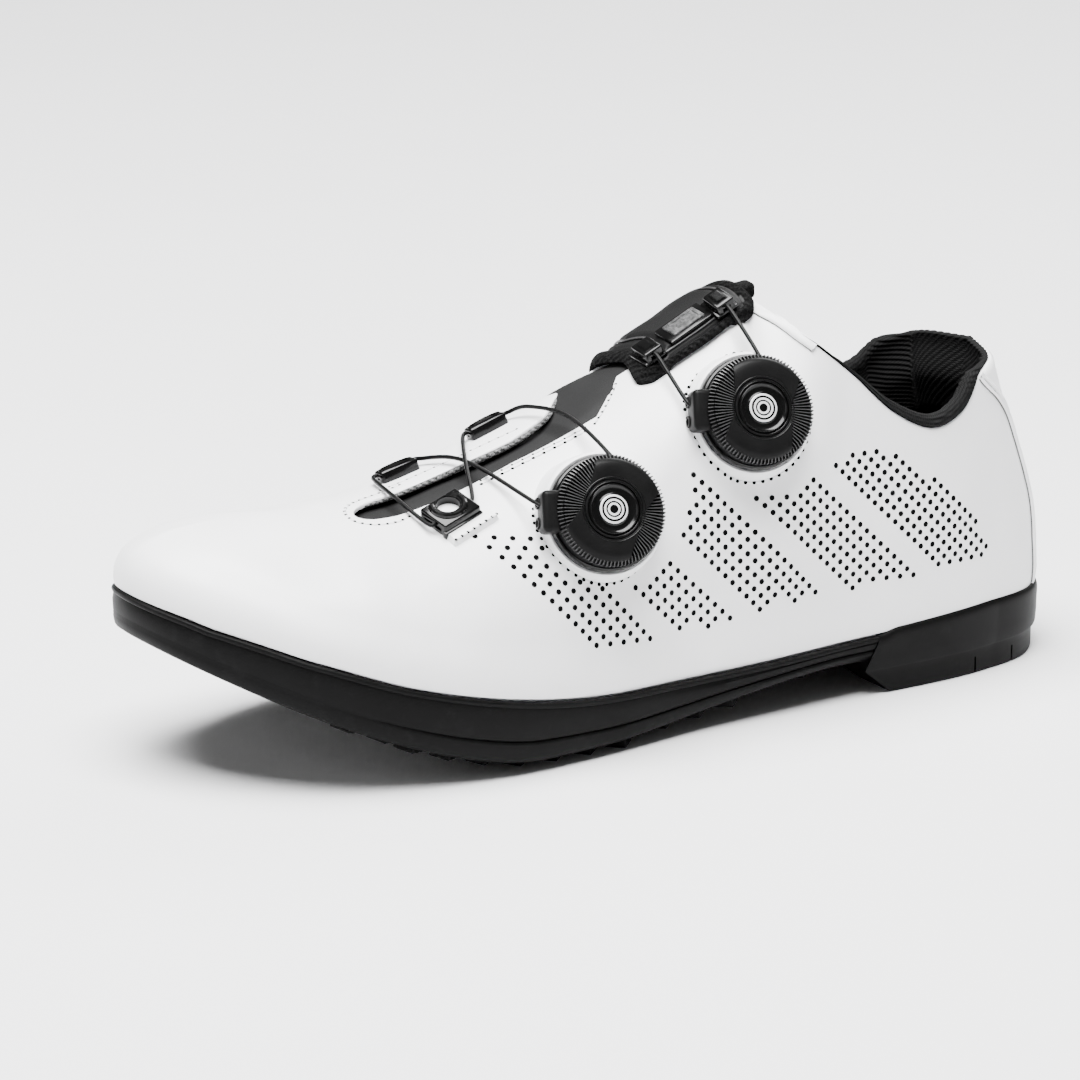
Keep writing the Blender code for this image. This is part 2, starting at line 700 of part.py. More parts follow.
def throat_cut(side, place):
    """How far below the ridge the upper ends on one side of the throat."""
    if place <= CORNER_RIB or place >= THROAT_RIB + 1:
        return 0.0
    row = throat_row(min(place, THROAT_RIB))
    middle = side * (row.outer + row.inner) / 2 * BALL_WIDTH
    if place >= THROAT_RIB:
        return middle * (1 - smooth_step(THROAT_RIB, THROAT_RIB + 1, place))
    front = max(0.0, 1 - (THROAT_RIB - place) / THROAT_ROUND)
    half = (row.outer - row.inner) / 2 * BALL_WIDTH * math.sqrt(1 - front * front)
    return (middle + half) * min(1.0, (place - CORNER_RIB) / (RIDGE_RIB - CORNER_RIB))


def rib_places():
    """The upper's columns: the cup's, the two sides of the backstay's step, and more round the throat's end."""
    step = 0.02
    places = [place for place in COLUMNS if place != BACKSTAY_RIB]
    places += [BACKSTAY_RIB - step, BACKSTAY_RIB + step]
    places += [(CORNER_RIB + RIDGE_RIB) / 2] + [row.rib for row in THROAT[1:-1]]
    places += [THROAT_RIB - THROAT_ROUND * share for share in (1.0, 0.6, 0.25, 0.06)]
    return sorted(set(places))


def two_sided_sheet(name, columns, thickness, surface_look):
    """An open sheet through columns on both sides, given a thickness inwards."""
    data = bmesh.new()
    for side in (1, -1):
        made = [[data.verts.new(point) for point in column] for column in columns(side)]
        for low, high in zip(made, made[1:]):
            for k in range(len(low) - 1):
                face = (low[k], low[k + 1], high[k + 1], high[k])
                data.faces.new(face if side > 0 else face[::-1])
    bmesh.ops.remove_doubles(data, verts=data.verts, dist=0.01 * MM)
    made = mesh_object(name, data, surface_look)
    thicken(made, thickness)
    return made


def thicken(made, thickness):
    """Gives an open sheet its thickness, on the inner side of its faces."""
    solid = made.modifiers.new("thickness", "SOLIDIFY")
    solid.thickness = thickness
    solid.offset = -1
    solid.use_even_offset = True
    solid.use_rim = True


def grid_sheet(name, rows, thickness, surface_look):
    """An open sheet through rows of points, heel to toe and inner to outer, thick on its inner side."""
    data = bmesh.new()
    made = [[data.verts.new(point) for point in row] for row in rows]
    for low, high in zip(made, made[1:]):
        for k in range(len(low) - 1):
            data.faces.new((low[k], high[k], high[k + 1], low[k + 1]))
    sheet = mesh_object(name, data, surface_look)
    thicken(sheet, thickness)
    return sheet


def upper_columns(side):
    """Columns of the upper from its foot in the cup to the topline, throat or ridge."""
    rows = 7
    columns = []
    for place in rib_places():
        sweep = rib_row(place).sweep
        raised = BACKSTAY_STEP if place < BACKSTAY_RIB else 0.0
        length, top = rib_length(side, place), throat_cut(side, place)
        skirt = outline(side, sweep, SIDEWALL + GAP, floor_height(sweep) + GAP)
        column = [skirt]
        for k in range(rows + 1):
            down = length + (top - length) * k / rows
            step = raised * min(1.0, 2 * k / rows)
            column.append(surface(side, place, down, step) if step else on_rib(side, place, down))
        columns.append(column)
    return columns


def make_upper():
    """One hollow wall, open at the collar, the throat and underneath."""
    return two_sided_sheet("upper", upper_columns, WALL, LEATHER)


def make_tongue():
    """A strip that follows the ridge under the throat and stands above the instep."""
    places = [RIDGE_RIB + TONGUE_RIBS * (k / 8) ** 1.2 for k in range(9)]
    middle = (THROAT[0].outer + THROAT[0].inner) / 2 * BALL_WIDTH
    shares = [k / 3 - 1 for k in range(7)]
    rows = []
    for place in places:
        narrow = 1 - 0.25 * (place - RIDGE_RIB) / TONGUE_RIBS
        wide = smooth_step(RIDGE_RIB - 0.4, RIDGE_RIB + 1.4, place)
        narrow *= 0.3 + 0.7 * wide
        shift = middle * (1 - wide)
        under = -(WALL + TONGUE_CLEARANCE * (2.8 - 1.8 * wide))
        rows.append([across(place, shift + share * TONGUE_HALF_WIDTH * narrow, under) for share in shares])
    end = []
    for k, share in enumerate(shares):
        back = (rows[0][k] - rows[1][k]).normalized()
        end.append(rows[0][k] + back * TONGUE_RISE * (1 - 0.35 * share * share))
    return grid_sheet("tongue", [end] + rows, TONGUE_THICKNESS, TONGUE_GREY)


def make_lining():
    """The ankle pad: a rolled top above the leather's edge and a pad down its inside."""
    skin = -(WALL + LINING_CLEARANCE)
    deep = skin - LINING_PAD
    profile = (
        (skin, LINING_DEPTH),
        (skin, 0.5 * LINING_DEPTH),
        (skin, -LINING_LIFT),
        (-0.2 * MM, -LINING_LIFT),
        (0.2 * MM, -0.45 * LINING_ROLL),
        (0.3 * deep, -LINING_ROLL),
        (0.8 * deep, -0.85 * LINING_ROLL),
        (deep, 0.0),
        (deep, 0.35 * LINING_DEPTH),
        (0.4 * (deep + skin) + 0.1 * skin, 0.8 * LINING_DEPTH),
    )
    places = [k / 2 for k in range(15)] + [7.4]
    stops = [(-1, place) for place in reversed(places)] + [(1, place) for place in places[1:]]
    data = bmesh.new()
    rings = []
    for side, place in stops:
        ring = []
        for lift, down in profile:
            ring.append(data.verts.new(surface(side, place, max(down, 0.0), lift)))
            if down < 0:
                climb = (on_rib(side, place, 0) - on_rib(side, place, 2 * MM)).normalized()
                ring[-1].co += climb * -down
        rings.append(ring)
    for low, high in zip(rings, rings[1:]):
        for k in range(len(low)):
            after = (k + 1) % len(low)
            data.faces.new((low[k], low[after], high[after], high[k]))
    data.faces.new(rings[0])
    data.faces.new(rings[-1][::-1])
    bmesh.ops.recalc_face_normals(data, faces=data.faces)
    return mesh_object("collar_lining", data, KNIT)


def make_insole():
    """The sock liner on the cup's floor."""
    inset = SIDEWALL + GAP + WALL + INSOLE_CLEARANCE
    halves, steps = round_the_sole()
    low, high = [], []
    for side, sweep in halves:
        floor = floor_height(sweep) + GAP
        low.append(outline(side, sweep, inset, floor))
        high.append(outline(side, sweep, inset + 0.6 * MM, floor + INSOLE_THICKNESS))
    return loops_solid("insole", [low, high], steps, FOAM)


# Strap, guides, dials and laces


def over_instep(place, reach, lift=0.0):
    """A point over the ridge that may lie past its rear end, where the line runs on straight."""
    if place >= RIDGE_RIB:
        return across(place, reach, lift)
    step = 0.5
    end, before = across(RIDGE_RIB, reach, lift), across(RIDGE_RIB + step, reach, lift)
    return end + (end - before) * (RIDGE_RIB - place) / step


def make_strap():
    """The instep strap, with a rounded outer end."""
    length = STRAP_OUTER - STRAP_INNER
    rows = []
    for k in range(7):
        part = k / 6
        row = []
        for n in range(9):
            reach = STRAP_INNER + length * n / 8
            end = max(0.0, (reach - STRAP_OUTER) / STRAP_CORNER + 1)
            start = max(0.0, (STRAP_INNER - reach) / (2 * STRAP_CORNER) + 1)
            narrow = 0.16 * end**2 + 0.12 * start**2
            slant = max(0.0, STRAP_CORNER - reach) / length
            back, front = STRAP_BACK + STRAP_BACK_SLANT * slant, STRAP_FRONT - STRAP_SLANT * slant
            place = back + (front - back) * (narrow + (1 - 2 * narrow) * part)
            row.append(over_instep(place, reach, STRAP_CLEARANCE + STRAP_THICKNESS))
        rows.append(row)
    return grid_sheet("instep_strap", rows, STRAP_THICKNESS, STRAP_BLACK)


def seat_frame(place, reach, lift):
    """A frame on the upper: X towards the heel along the ridge, Z out of the surface."""
    origin = over_instep(place, reach, lift)
    heelward = over_instep(place - 0.2, reach, lift) - over_instep(place + 0.2, reach, lift)
    out = outward(1 if reach >= 0 else -1, max(place, RIDGE_RIB), abs(reach))
    return framed(origin, heelward, out)


def framed(origin, along, out):
    """A matrix with its Z out and its X as near as it can be to a direction."""
    z = out.normalized()
    y = z.cross(along).normalized()
    x = y.cross(z)
    turned = Matrix((x, y, z)).transposed().to_4x4()
    return Matrix.Translation(origin) @ turned


def seat_cutter(name, side, place, reach, spread, lift, count):
    """A cutter that fills everything under a lifted patch of the upper."""
    rows = []
    for i in range(-count, count + 1):
        row = []
        for j in range(-count, count + 1):
            down = max(0.0, reach + spread * side * j / count) if place < RIDGE_RIB else reach + spread * j / count
            at = place + spread / RIB_PITCH * i / count
            row.append(surface(side, at, abs(down), lift) if at < RIDGE_RIB else across(at, down, lift))
        rows.append(row)
    return grid_sheet(name, rows, SEAT_CUT_DEPTH, RUBBER)


def block(name, size, bevel, matrix, surface_look):
    """A box with rounded edges, standing on its frame's plane."""
    data = bmesh.new()
    bmesh.ops.create_cube(data, size=1, matrix=Matrix.Diagonal((*size, 1)))
    bmesh.ops.bevel(data, geom=data.edges[:], offset=bevel, segments=1, affect="EDGES", clamp_overlap=True)
    bmesh.ops.translate(data, verts=data.verts, vec=(0, 0, size[2] / 2))
    made = mesh_object(name, data, surface_look)
    made.matrix_world = matrix
    return made


def disc(name, radius, low, high, matrix, surface_look, sides):
    """A plain cylinder along its frame's Z."""
    data = bmesh.new()
    middle = Matrix.Translation((0, 0, (low + high) / 2))
    bmesh.ops.create_cone(
        data, cap_ends=True, segments=sides, radius1=radius, radius2=radius, depth=high - low, matrix=middle
    )
    made = mesh_object(name, data, surface_look)
    made.matrix_world = matrix
    return made


def turned(name, profile, matrix, surface_look, sides):
    """A profile from the axis outwards and down its outer side, turned round its frame's Z."""
    mesh = bpy.data.meshes.new(name)
    mesh.from_pydata([(r, 0, z) for r, z in profile], [(k, k + 1) for k in range(len(profile) - 1)], [])
    mesh.materials.append(surface_look)
    made = bpy.data.objects.new(name, mesh)
    made.matrix_world = matrix
    SHOE.objects.link(made)
    screw = made.modifiers.new("turned", "SCREW")
    screw.steps = sides
    screw.render_steps = sides
    screw.use_merge_vertices = True
    screw.merge_threshold = 0.01 * MM
    screw.use_smooth_shade = True
    return made


def guide_frame(guide):
    lift = SEAT_CLEARANCE if guide.on == "upper" else STRAP_CLEARANCE + STRAP_THICKNESS + GAP
    return seat_frame(guide.rib, guide.reach * BALL_WIDTH, lift), lift


def make_guide(guide):
    """A lace guide: a block on the upper or the strap, cut to the curve that it stands on."""
    frame, lift = guide_frame(guide)
    size = Vector(guide.size) * MM
    sink = GUIDE_SINK
    frame = frame @ Matrix.Rotation(math.radians(guide.turn), 4, "Z")
    standing = frame @ Matrix.Translation((0, 0, -sink))
    made = block(guide.name, (size.x, size.y, size.z + sink), GUIDE_BEVEL, standing, PLASTIC)
    if guide.eye:
        cut(made, disc(guide.name + "_eye", guide.eye * MM / 2, -4 * sink, 4 * size.z, frame, PLASTIC, 14))
    spread = 0.75 * max(size.x, size.y)
    cut(made, seat_cutter(guide.name + "_seat", 1, guide.rib, guide.reach * BALL_WIDTH, spread, lift, 2))
    return made


def dial_frame(dial):
    """The dial's frame: origin on the upper, Z out along its axis, X to the heel and Y up."""
    origin = surface(1, dial.rib, dial.reach * BALL_WIDTH)
    high, turn = math.radians(dial.elevation), math.radians(dial.yaw)
    axis = Vector((math.sin(turn) * math.cos(high), math.cos(turn) * math.cos(high), math.sin(high)))
    return framed(origin, Vector((-1, 0, 0)), axis)


def make_dial(dial):
    """The seat, the housing with its lace ports, the knob and the cap of one dial."""
    frame = dial_frame(dial)
    sides = 22
    seat_top = DIAL_SEAT_HEIGHT
    seat = disc(f"dial_{dial.name}_seat", DIAL_SEAT_DIAMETER / 2, -DIAL_SEAT_SINK, seat_top, frame, LEATHER, sides)
    spread = 0.8 * DIAL_SEAT_DIAMETER
    cut(seat, seat_cutter(f"dial_{dial.name}_under", 1, dial.rib, dial.reach * BALL_WIDTH, spread, SEAT_CLEARANCE, 6))
    low = seat_top + GAP
    high = low + DIAL_BASE_HEIGHT
    knob_radius = DIAL_DIAMETER / 2
    base = disc(f"dial_{dial.name}_base", DIAL_BASE_DIAMETER / 2, low, high, frame, PLASTIC, 16)
    inner = knob_radius - PORT_REACH
    port = (2 * PORT_REACH, PORT_WIDTH, DIAL_BASE_HEIGHT)
    foot_spot = frame @ Matrix.Translation((-inner - PORT_REACH, 0, low))
    cut(base, block(f"dial_{dial.name}_port_foot", port, 0.2 * MM, foot_spot, PLASTIC), "UNION")
    outer = knob_radius + GAP + PORT_REACH / 2
    wall_spot = frame @ Matrix.Translation((-outer, 0, low))
    wall = (PORT_REACH, PORT_WIDTH, PORT_HEIGHT)
    cut(base, block(f"dial_{dial.name}_port_wall", wall, 0.4 * MM, wall_spot, PLASTIC), "UNION")
    bottom = high + GAP
    top = bottom + DIAL_HEIGHT
    cap_radius = DIAL_CAP_DIAMETER / 2
    well = top - DIAL_CAP_HEIGHT
    profile = (
        (0, well),
        (cap_radius + GAP, well),
        (cap_radius + GAP, top),
        (0.84 * knob_radius, top - 0.4 * MM),
        (knob_radius, top - 0.34 * DIAL_HEIGHT),
        (knob_radius, bottom + 0.8 * MM),
        (knob_radius - 0.8 * MM, bottom),
        (0, bottom),
    )
    turned(f"dial_{dial.name}_knob", profile, frame, PLASTIC, sides)
    disc(f"dial_{dial.name}_cap", cap_radius, well + GAP, top + 0.2 * MM, frame, SILVER, 18)
    return frame


def smooth_line(points, step):
    """Points spaced along a smooth curve through the points of a route."""
    fine = []
    for k in range(len(points) - 1):
        before = points[k - 1] if k else 2 * points[0] - points[1]
        after = points[k + 2] if k + 2 < len(points) else 2 * points[-1] - points[-2]
        for n in range(12):
            t = n / 12
            a, b = (points[k + 1] - before) / 2, (after - points[k]) / 2
            rise = points[k + 1] - points[k]
            fine.append(points[k] + a * t + (3 * rise - 2 * a - b) * t**2 + (a + b - 2 * rise) * t**3)
    fine.append(points[-1])
    total = sum((q - p).length for p, q in zip(fine, fine[1:]))
    count = max(2, round(total / step))
    spaced, walked, k = [fine[0]], 0.0, 0
    for n in range(1, count):
        target = total * n / count
        while walked + (fine[k + 1] - fine[k]).length < target:
            walked += (fine[k + 1] - fine[k]).length
            k += 1
        part = (target - walked) / (fine[k + 1] - fine[k]).length
        spaced.append(fine[k].lerp(fine[k + 1], part))
    return spaced + [fine[-1]]


def lace_curve(name, route):
    """A stretch of lace as a tube along a smooth curve."""
    points = smooth_line(route, 3 * LACE_DIAMETER)
    curve = bpy.data.curves.new(name, "CURVE")
    curve.dimensions = "3D"
    curve.bevel_depth = LACE_DIAMETER / 2
    curve.bevel_resolution = 2
    curve.use_fill_caps = True
    spline = curve.splines.new("POLY")
    spline.points.add(len(points) - 1)
    for spot, point in zip(spline.points, points):
        spot.co = (*point, 1)
    curve.materials.append(WIRE)
    made = bpy.data.objects.new(name, curve)
    SHOE.objects.link(made)
    return made


def lace_mesh(name, route):
    """The same stretch as a mesh with its caps welded on, so that it can be joined."""
    tube = lace_curve(name + "_tube", route)
    bpy.context.view_layer.update()
    found = tube.evaluated_get(bpy.context.evaluated_depsgraph_get())
    mesh = bpy.data.meshes.new_from_object(found)
    bpy.data.objects.remove(tube)
    data = bmesh.new()
    data.from_mesh(mesh)
    bmesh.ops.remove_doubles(data, verts=data.verts, dist=0.01 * MM)
    bmesh.ops.recalc_face_normals(data, faces=data.faces)
    return mesh_object(name, data, WIRE)


def lace_point(rib, reach, lift):
    """A chosen point of a lace's route over the upper."""
    return over_instep(rib, reach * BALL_WIDTH, lift * MM)


def make_laces(frames):
    """The stretches of lace that show, each from port to port, and the two that cross joined in one."""
    guides = {guide.name: guide_frame(guide)[0] @ Matrix.Rotation(math.radians(guide.turn), 4, "Z") for guide in GUIDES}
    sizes = {guide.name: Vector(guide.size) * MM for guide in GUIDES}

    def end_of(name, way):
        size = sizes[name]
        return guides[name] @ Vector((way * (size.x / 2 + GAP + LACE_DIAMETER), 0, 0.55 * size.z))

    low = DIAL_SEAT_HEIGHT + GAP + 0.55 * PORT_HEIGHT
    port = Vector((-(DIAL_DIAMETER / 2 + PORT_REACH + 2 * GAP + LACE_DIAMETER / 2), 0, low))
    rim = DIAL_DIAMETER / 2 + 2 * GAP
    top = Vector((0.3 * rim, 0.95 * rim, low + 0.5 * MM))
    lower, upper = frames["lower"], frames["upper"]
    front = [end_of("throat_guide_inner_front", 1), lace_point(*CROSSING), lower @ port]
    rear = [end_of("throat_guide_outer", 1), lace_point(*CROSSING), end_of("throat_guide_inner_rear", -1)]
    first = lace_mesh("lace_lower_crossing", front)
    cut(first, lace_mesh("lace_lower_other_strand", rear), "UNION")
    bar = [end_of("throat_guide_inner_front", -1), lace_point(*FRONT_BAR), end_of("throat_guide_outer", -1)]
    lace_curve("lace_lower_front", bar)
    arc = [end_of("throat_guide_inner_rear", 1), lace_point(*REAR_ARC_START), lace_point(*REAR_ARC_END), lower @ top]
    lace_curve("lace_lower_rear", arc)
    lace_curve("lace_upper_front", [end_of("strap_guide_front", 1), upper @ port])
    lace_curve("lace_upper_rear", [end_of("strap_guide_rear", 1), upper @ top])


make_sole()
make_upper()
make_tongue()
make_lining()
make_insole()
make_strap()
for one in GUIDES:
    make_guide(one)
make_laces({dial.name: make_dial(dial) for dial in DIALS})
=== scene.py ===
# %% [markdown]
# # Cycling shoe for the left foot, with two lace dials
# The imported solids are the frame. This script dresses them: soft white leather with its perforations and
# seams, knit lining, moulded dials, glossy laces, and a rubber sole with its lugs and pedal pad.

# %% Load the frame
import math
from bisect import bisect_left
from collections import namedtuple
from functools import lru_cache

import bmesh
import bpy
import numpy as np
from mathutils import Matrix, Vector
from mathutils.bvhtree import BVHTree


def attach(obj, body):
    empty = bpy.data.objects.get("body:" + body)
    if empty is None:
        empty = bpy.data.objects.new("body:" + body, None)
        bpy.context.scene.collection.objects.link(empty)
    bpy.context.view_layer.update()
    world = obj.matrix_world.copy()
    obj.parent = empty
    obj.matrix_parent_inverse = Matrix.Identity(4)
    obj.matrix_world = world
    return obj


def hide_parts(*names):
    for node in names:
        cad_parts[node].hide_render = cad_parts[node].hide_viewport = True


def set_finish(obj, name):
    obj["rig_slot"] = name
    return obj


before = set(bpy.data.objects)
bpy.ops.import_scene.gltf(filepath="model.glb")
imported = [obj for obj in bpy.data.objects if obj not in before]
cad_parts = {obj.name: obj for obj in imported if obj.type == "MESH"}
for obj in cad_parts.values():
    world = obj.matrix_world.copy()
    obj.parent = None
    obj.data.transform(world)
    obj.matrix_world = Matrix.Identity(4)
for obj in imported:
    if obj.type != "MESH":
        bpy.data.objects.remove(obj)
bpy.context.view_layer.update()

MM = 0.001

# %% [markdown]
# The photograph looks at the outer side from a little above, through a long lens that keeps the lines
# nearly parallel. The camera stands 1.5 m from the shoe and turns towards a point low in the middle of
# it.

# %% Camera
AIM = Vector((0.0191, 0.0, 0.050))
CAMERA_PLACE = Vector((0.7401, 1.2488, 0.4635))
camera_data = bpy.data.cameras.new("studio_camera")
camera_data.lens = 178.5
camera_data.sensor_width = 36
camera = bpy.data.objects.new("studio_camera", camera_data)
bpy.context.scene.collection.objects.link(camera)
camera.location = CAMERA_PLACE
camera.rotation_euler = (AIM - CAMERA_PLACE).to_track_quat("-Z", "Y").to_euler()
bpy.context.scene.camera = camera
print("camera", round((AIM - CAMERA_PLACE).length, 3), "m away")

# %% [markdown]
# A white shoe on a pale floor is lit by big soft sources, or its edges would be lost. The sky is even, one
# large window hangs high over the shoe, and weak ones in front and behind pick out the black parts' edges.

# %% Lights
world = bpy.data.worlds.new("studio")
world.use_nodes = True
world.node_tree.nodes["Background"].inputs["Color"].default_value = (1.0, 1.0, 1.0, 1)
world.node_tree.nodes["Background"].inputs["Strength"].default_value = 0.22
bpy.context.scene.world = world


def soft_window(name, place, size, power):
    """An area light that faces the shoe."""
    data = bpy.data.lights.new(name, "AREA")
    data.shape = "RECTANGLE"
    data.size, data.size_y = size
    data.energy = power
    lamp = bpy.data.objects.new(name, data)
    bpy.context.scene.collection.objects.link(lamp)
    lamp.location = place
    lamp.rotation_euler = (Vector((0, 0, 0.05)) - Vector(place)).to_track_quat("-Z", "Y").to_euler()
    return lamp


soft_window("window_high", (0.30, 0.10, 1.7), (1.6, 1.2), 200)
soft_window("window_front", (1.5, 0.5, 0.9), (0.9, 0.9), 5)
soft_window("window_back", (-1.2, -0.9, 1.1), (0.9, 0.7), 20)
print("lights", len([o for o in bpy.data.objects if o.type == "LIGHT"]))

# %% [markdown]
# ## The shoe's own lines
# The leather has no flat face to measure from, so the solids were lofted through ribs: curves that climb
# from the sole's edge to the ridge. The same tables and curves are repeated here, so that every seam and
# hole can be given by its rib and by its distance from the ridge, and lies on the leather.

# %% Sizes
SHOE_LENGTH = 288 * MM
BALL_WIDTH = 102 * MM
INSTEP_HEIGHT = 115 * MM
TOE_EDGE_HEIGHT = 50.5 * MM
TOE_SPRING = 41 * MM
ARCH_HEIGHT = 7.5 * MM
GAP = 0.3 * MM
SIDEWALL = 2.5 * MM
CUP_DEPTH = 5 * MM
EDGE_BAND = 9 * MM
LUG_DEPTH = 2.5 * MM
LUG_PITCH = 7.7 * MM
LUG_SIZE = 6.1 * MM
SEAM_X = -71 * MM
HEEL_BLOCK_HEIGHT = 8 * MM
PAD_LENGTH = 71 * MM
PAD_WIDTH = 59 * MM
PAD_PLACE = 0.70
PAD_SHEAR = 0.26
WALL = 2.2 * MM

Station = namedtuple("Station", "share spine outer inner edge cup groove")
STATIONS = (
    Station(0.00, 0.000, 0.676, 0.676, 0.366, 1.00, 1.0),
    Station(0.10, 0.000, 0.520, 0.510, 0.388, 1.00, 1.0),
    Station(0.26, 0.000, 0.415, 0.370, 0.349, 0.80, 1.0),
    Station(0.38, 0.000, 0.402, 0.325, 0.325, 0.56, 1.0),
    Station(0.48, 0.000, 0.414, 0.345, 0.323, 0.56, 1.0),
    Station(0.60, -0.005, 0.482, 0.429, 0.352, 0.80, 1.0),
    Station(0.70, -0.016, 0.552, 0.527, 0.440, 0.90, 1.0),
    Station(0.80, -0.032, 0.608, 0.569, 0.578, 0.90, 0.6),
    Station(0.89, -0.055, 0.661, 0.592, 0.758, 0.90, 0.0),
    Station(0.96, -0.078, 0.660, 0.650, 0.903, 0.90, 0.0),
    Station(1.00, -0.085, 0.655, 0.655, 1.000, 0.90, 0.0),
)
Rib = namedtuple("Rib", "sweep along outer inner height rise flare crown drop")
RIBS = (
    Rib(0.000, -0.441, 0.000, 0.000, 0.790, 0.40, 0.045, 0.080, 0.42),
    Rib(0.065, -0.418, 0.180, -0.180, 0.780, 0.40, 0.045, 0.070, 0.42),
    Rib(0.190, -0.385, 0.248, -0.248, 0.745, 0.40, 0.040, 0.050, 0.40),
    Rib(0.250, -0.357, 0.288, -0.283, 0.678, 0.40, 0.035, 0.035, 0.40),
    Rib(0.305, -0.317, 0.312, -0.302, 0.654, 0.40, 0.030, 0.030, 0.38),
    Rib(0.355, -0.272, 0.302, -0.292, 0.709, 0.40, 0.025, 0.040, 0.35),
    Rib(0.400, -0.228, 0.270, -0.270, 0.817, 0.40, 0.025, 0.060, 0.30),
    Rib(0.440, -0.186, 0.216, -0.240, 0.909, 0.42, 0.025, 0.110, 0.17),
    Rib(0.475, -0.155, -0.020, -0.020, 0.990, 0.45, 0.025, 0.250, 0.03),
    Rib(0.515, -0.103, -0.020, -0.020, 0.925, 0.47, 0.025, 0.260, 0.00),
    Rib(0.560, -0.028, -0.025, -0.025, 0.828, 0.50, 0.030, 0.270, 0.00),
    Rib(0.620, 0.097, -0.030, -0.030, 0.703, 0.52, 0.040, 0.290, 0.00),
    Rib(0.690, 0.214, -0.040, -0.040, 0.612, 0.55, 0.045, 0.310, 0.00),
    Rib(0.770, 0.300, -0.060, -0.060, 0.588, 0.60, 0.035, 0.300, 0.00),
    Rib(0.880, 0.365, -0.080, -0.080, 0.590, 0.70, 0.030, 0.260, 0.00),
    Rib(1.000, 0.405, -0.085, -0.085, 0.588, 0.75, 0.025, 0.200, 0.00),
)
ThroatRow = namedtuple("ThroatRow", "rib outer inner")
THROAT = (
    ThroatRow(8.00, 0.020, -0.235),
    ThroatRow(10.06, 0.020, -0.235),
    ThroatRow(10.25, 0.112, -0.235),
    ThroatRow(10.32, 0.146, -0.110),
    ThroatRow(10.70, 0.148, 0.012),
    ThroatRow(11.00, 0.146, 0.040),
    ThroatRow(11.50, 0.160, 0.026),
    ThroatRow(12.00, 0.166, 0.030),
    ThroatRow(12.45, 0.150, 0.040),
)
Dial = namedtuple("Dial", "name rib reach elevation yaw turn")
DIALS = (Dial("upper", 7.93, 0.430, 24, 12, -11), Dial("lower", 10.25, 0.505, 24, 12, -28))
CORNER_RIB, RIDGE_RIB, LAST_RIB = 7.45, 8, len(RIBS) - 1
THROAT_RIB, THROAT_ROUND = THROAT[-1].rib, 0.28
print("tables:", len(STATIONS), "stations,", len(RIBS), "ribs,", len(THROAT), "throat corners")

# %% Reading the tables


def mixed(rows, place):
    """The row at a place between two rows, on a smooth curve through the table."""
    low = max(0, min(len(rows) - 2, math.floor(place)))
    part = place - low
    first, second = rows[low], rows[low + 1]
    values = []
    for k in range(len(first)):
        before = rows[low - 1][k] if low > 0 else 2 * first[k] - second[k]
        after = rows[low + 2][k] if low + 2 < len(rows) else 2 * second[k] - first[k]
        start, end = (second[k] - before) / 2, (after - first[k]) / 2
        rise = second[k] - first[k]
        curve = (3 * rise - 2 * start - end) * part**2 + (start + end - 2 * rise) * part**3
        values.append(first[k] + start * part + curve)
    return type(first)(*values)


@lru_cache(maxsize=None)
def station(share):
    """The sole's section at a share of the length."""
    share = max(0.0, min(1.0, share))
    low = max(k for k in range(len(STATIONS) - 1) if STATIONS[k].share <= share)
    step = STATIONS[low + 1].share - STATIONS[low].share
    return mixed(STATIONS, low + (share - STATIONS[low].share) / step)


def smooth_step(low, high, value):
    part = max(0.0, min(1.0, (value - low) / (high - low)))
    return part * part * (3 - 2 * part)


def hump(middle, half, value):
    """A soft hill from 0 to 1 and back, a half width to each side of its middle."""
    part = min(1.0, abs(value - middle) / half)
    return (1 - part * part) ** 2


def share_of(sweep):
    """Half a turn round the outline, from heel to toe, as a share of the length."""
    return (1 - math.cos(math.pi * sweep)) / 2


def outline(side, sweep, inset, height=0.0):
    """The sole's outline at one sweep, moved in by an inset."""
    share = share_of(sweep)
    row = station(share)
    fullness = (row.outer if side > 0 else row.inner) * BALL_WIDTH - inset
    x = (share - 0.5) * (SHOE_LENGTH - 2 * inset)
    return Vector((x, row.spine * BALL_WIDTH + side * fullness * math.sin(math.pi * sweep), height))


def sweep_at(x, inset):
    """The sweep at which the outline, moved in by an inset, passes a place along the shoe."""
    share = x / (SHOE_LENGTH - 2 * inset) + 0.5
    return math.acos(max(-1.0, min(1.0, 1 - 2 * share))) / math.pi


def tread_height(x):
    """The plane that the lugs reach, flat under the ball, rising in the arch and to the toe."""
    share = x / SHOE_LENGTH + 0.5
    toe = TOE_SPRING * max(0.0, (share - 0.655) / 0.345) ** 1.5
    return ARCH_HEIGHT * smooth_step(0.586, 0.30, share) + toe


def base_height(x):
    """The underside between the lugs."""
    return tread_height(x) + LUG_DEPTH


def edge_height(sweep):
    return station(share_of(sweep)).edge * TOE_EDGE_HEIGHT


def floor_height(sweep):
    return edge_height(sweep) - station(share_of(sweep)).cup * CUP_DEPTH


print("outline at the ball:", [round(v / MM, 1) for v in outline(1, 0.62, 0)])

# %% Curves of the upper


def rib_row(place):
    """The upper's rib at a place, its top on one ridge where the two sides meet."""
    row = mixed(RIBS, place)
    if place >= RIDGE_RIB:
        ridge = (row.outer + row.inner) / 2
        row = row._replace(outer=ridge, inner=ridge)
    return row


def rib_top(side, place):
    row = rib_row(place)
    across_by = row.outer if side > 0 else row.inner
    return Vector((row.along * SHOE_LENGTH, across_by * BALL_WIDTH, row.height * INSTEP_HEIGHT))


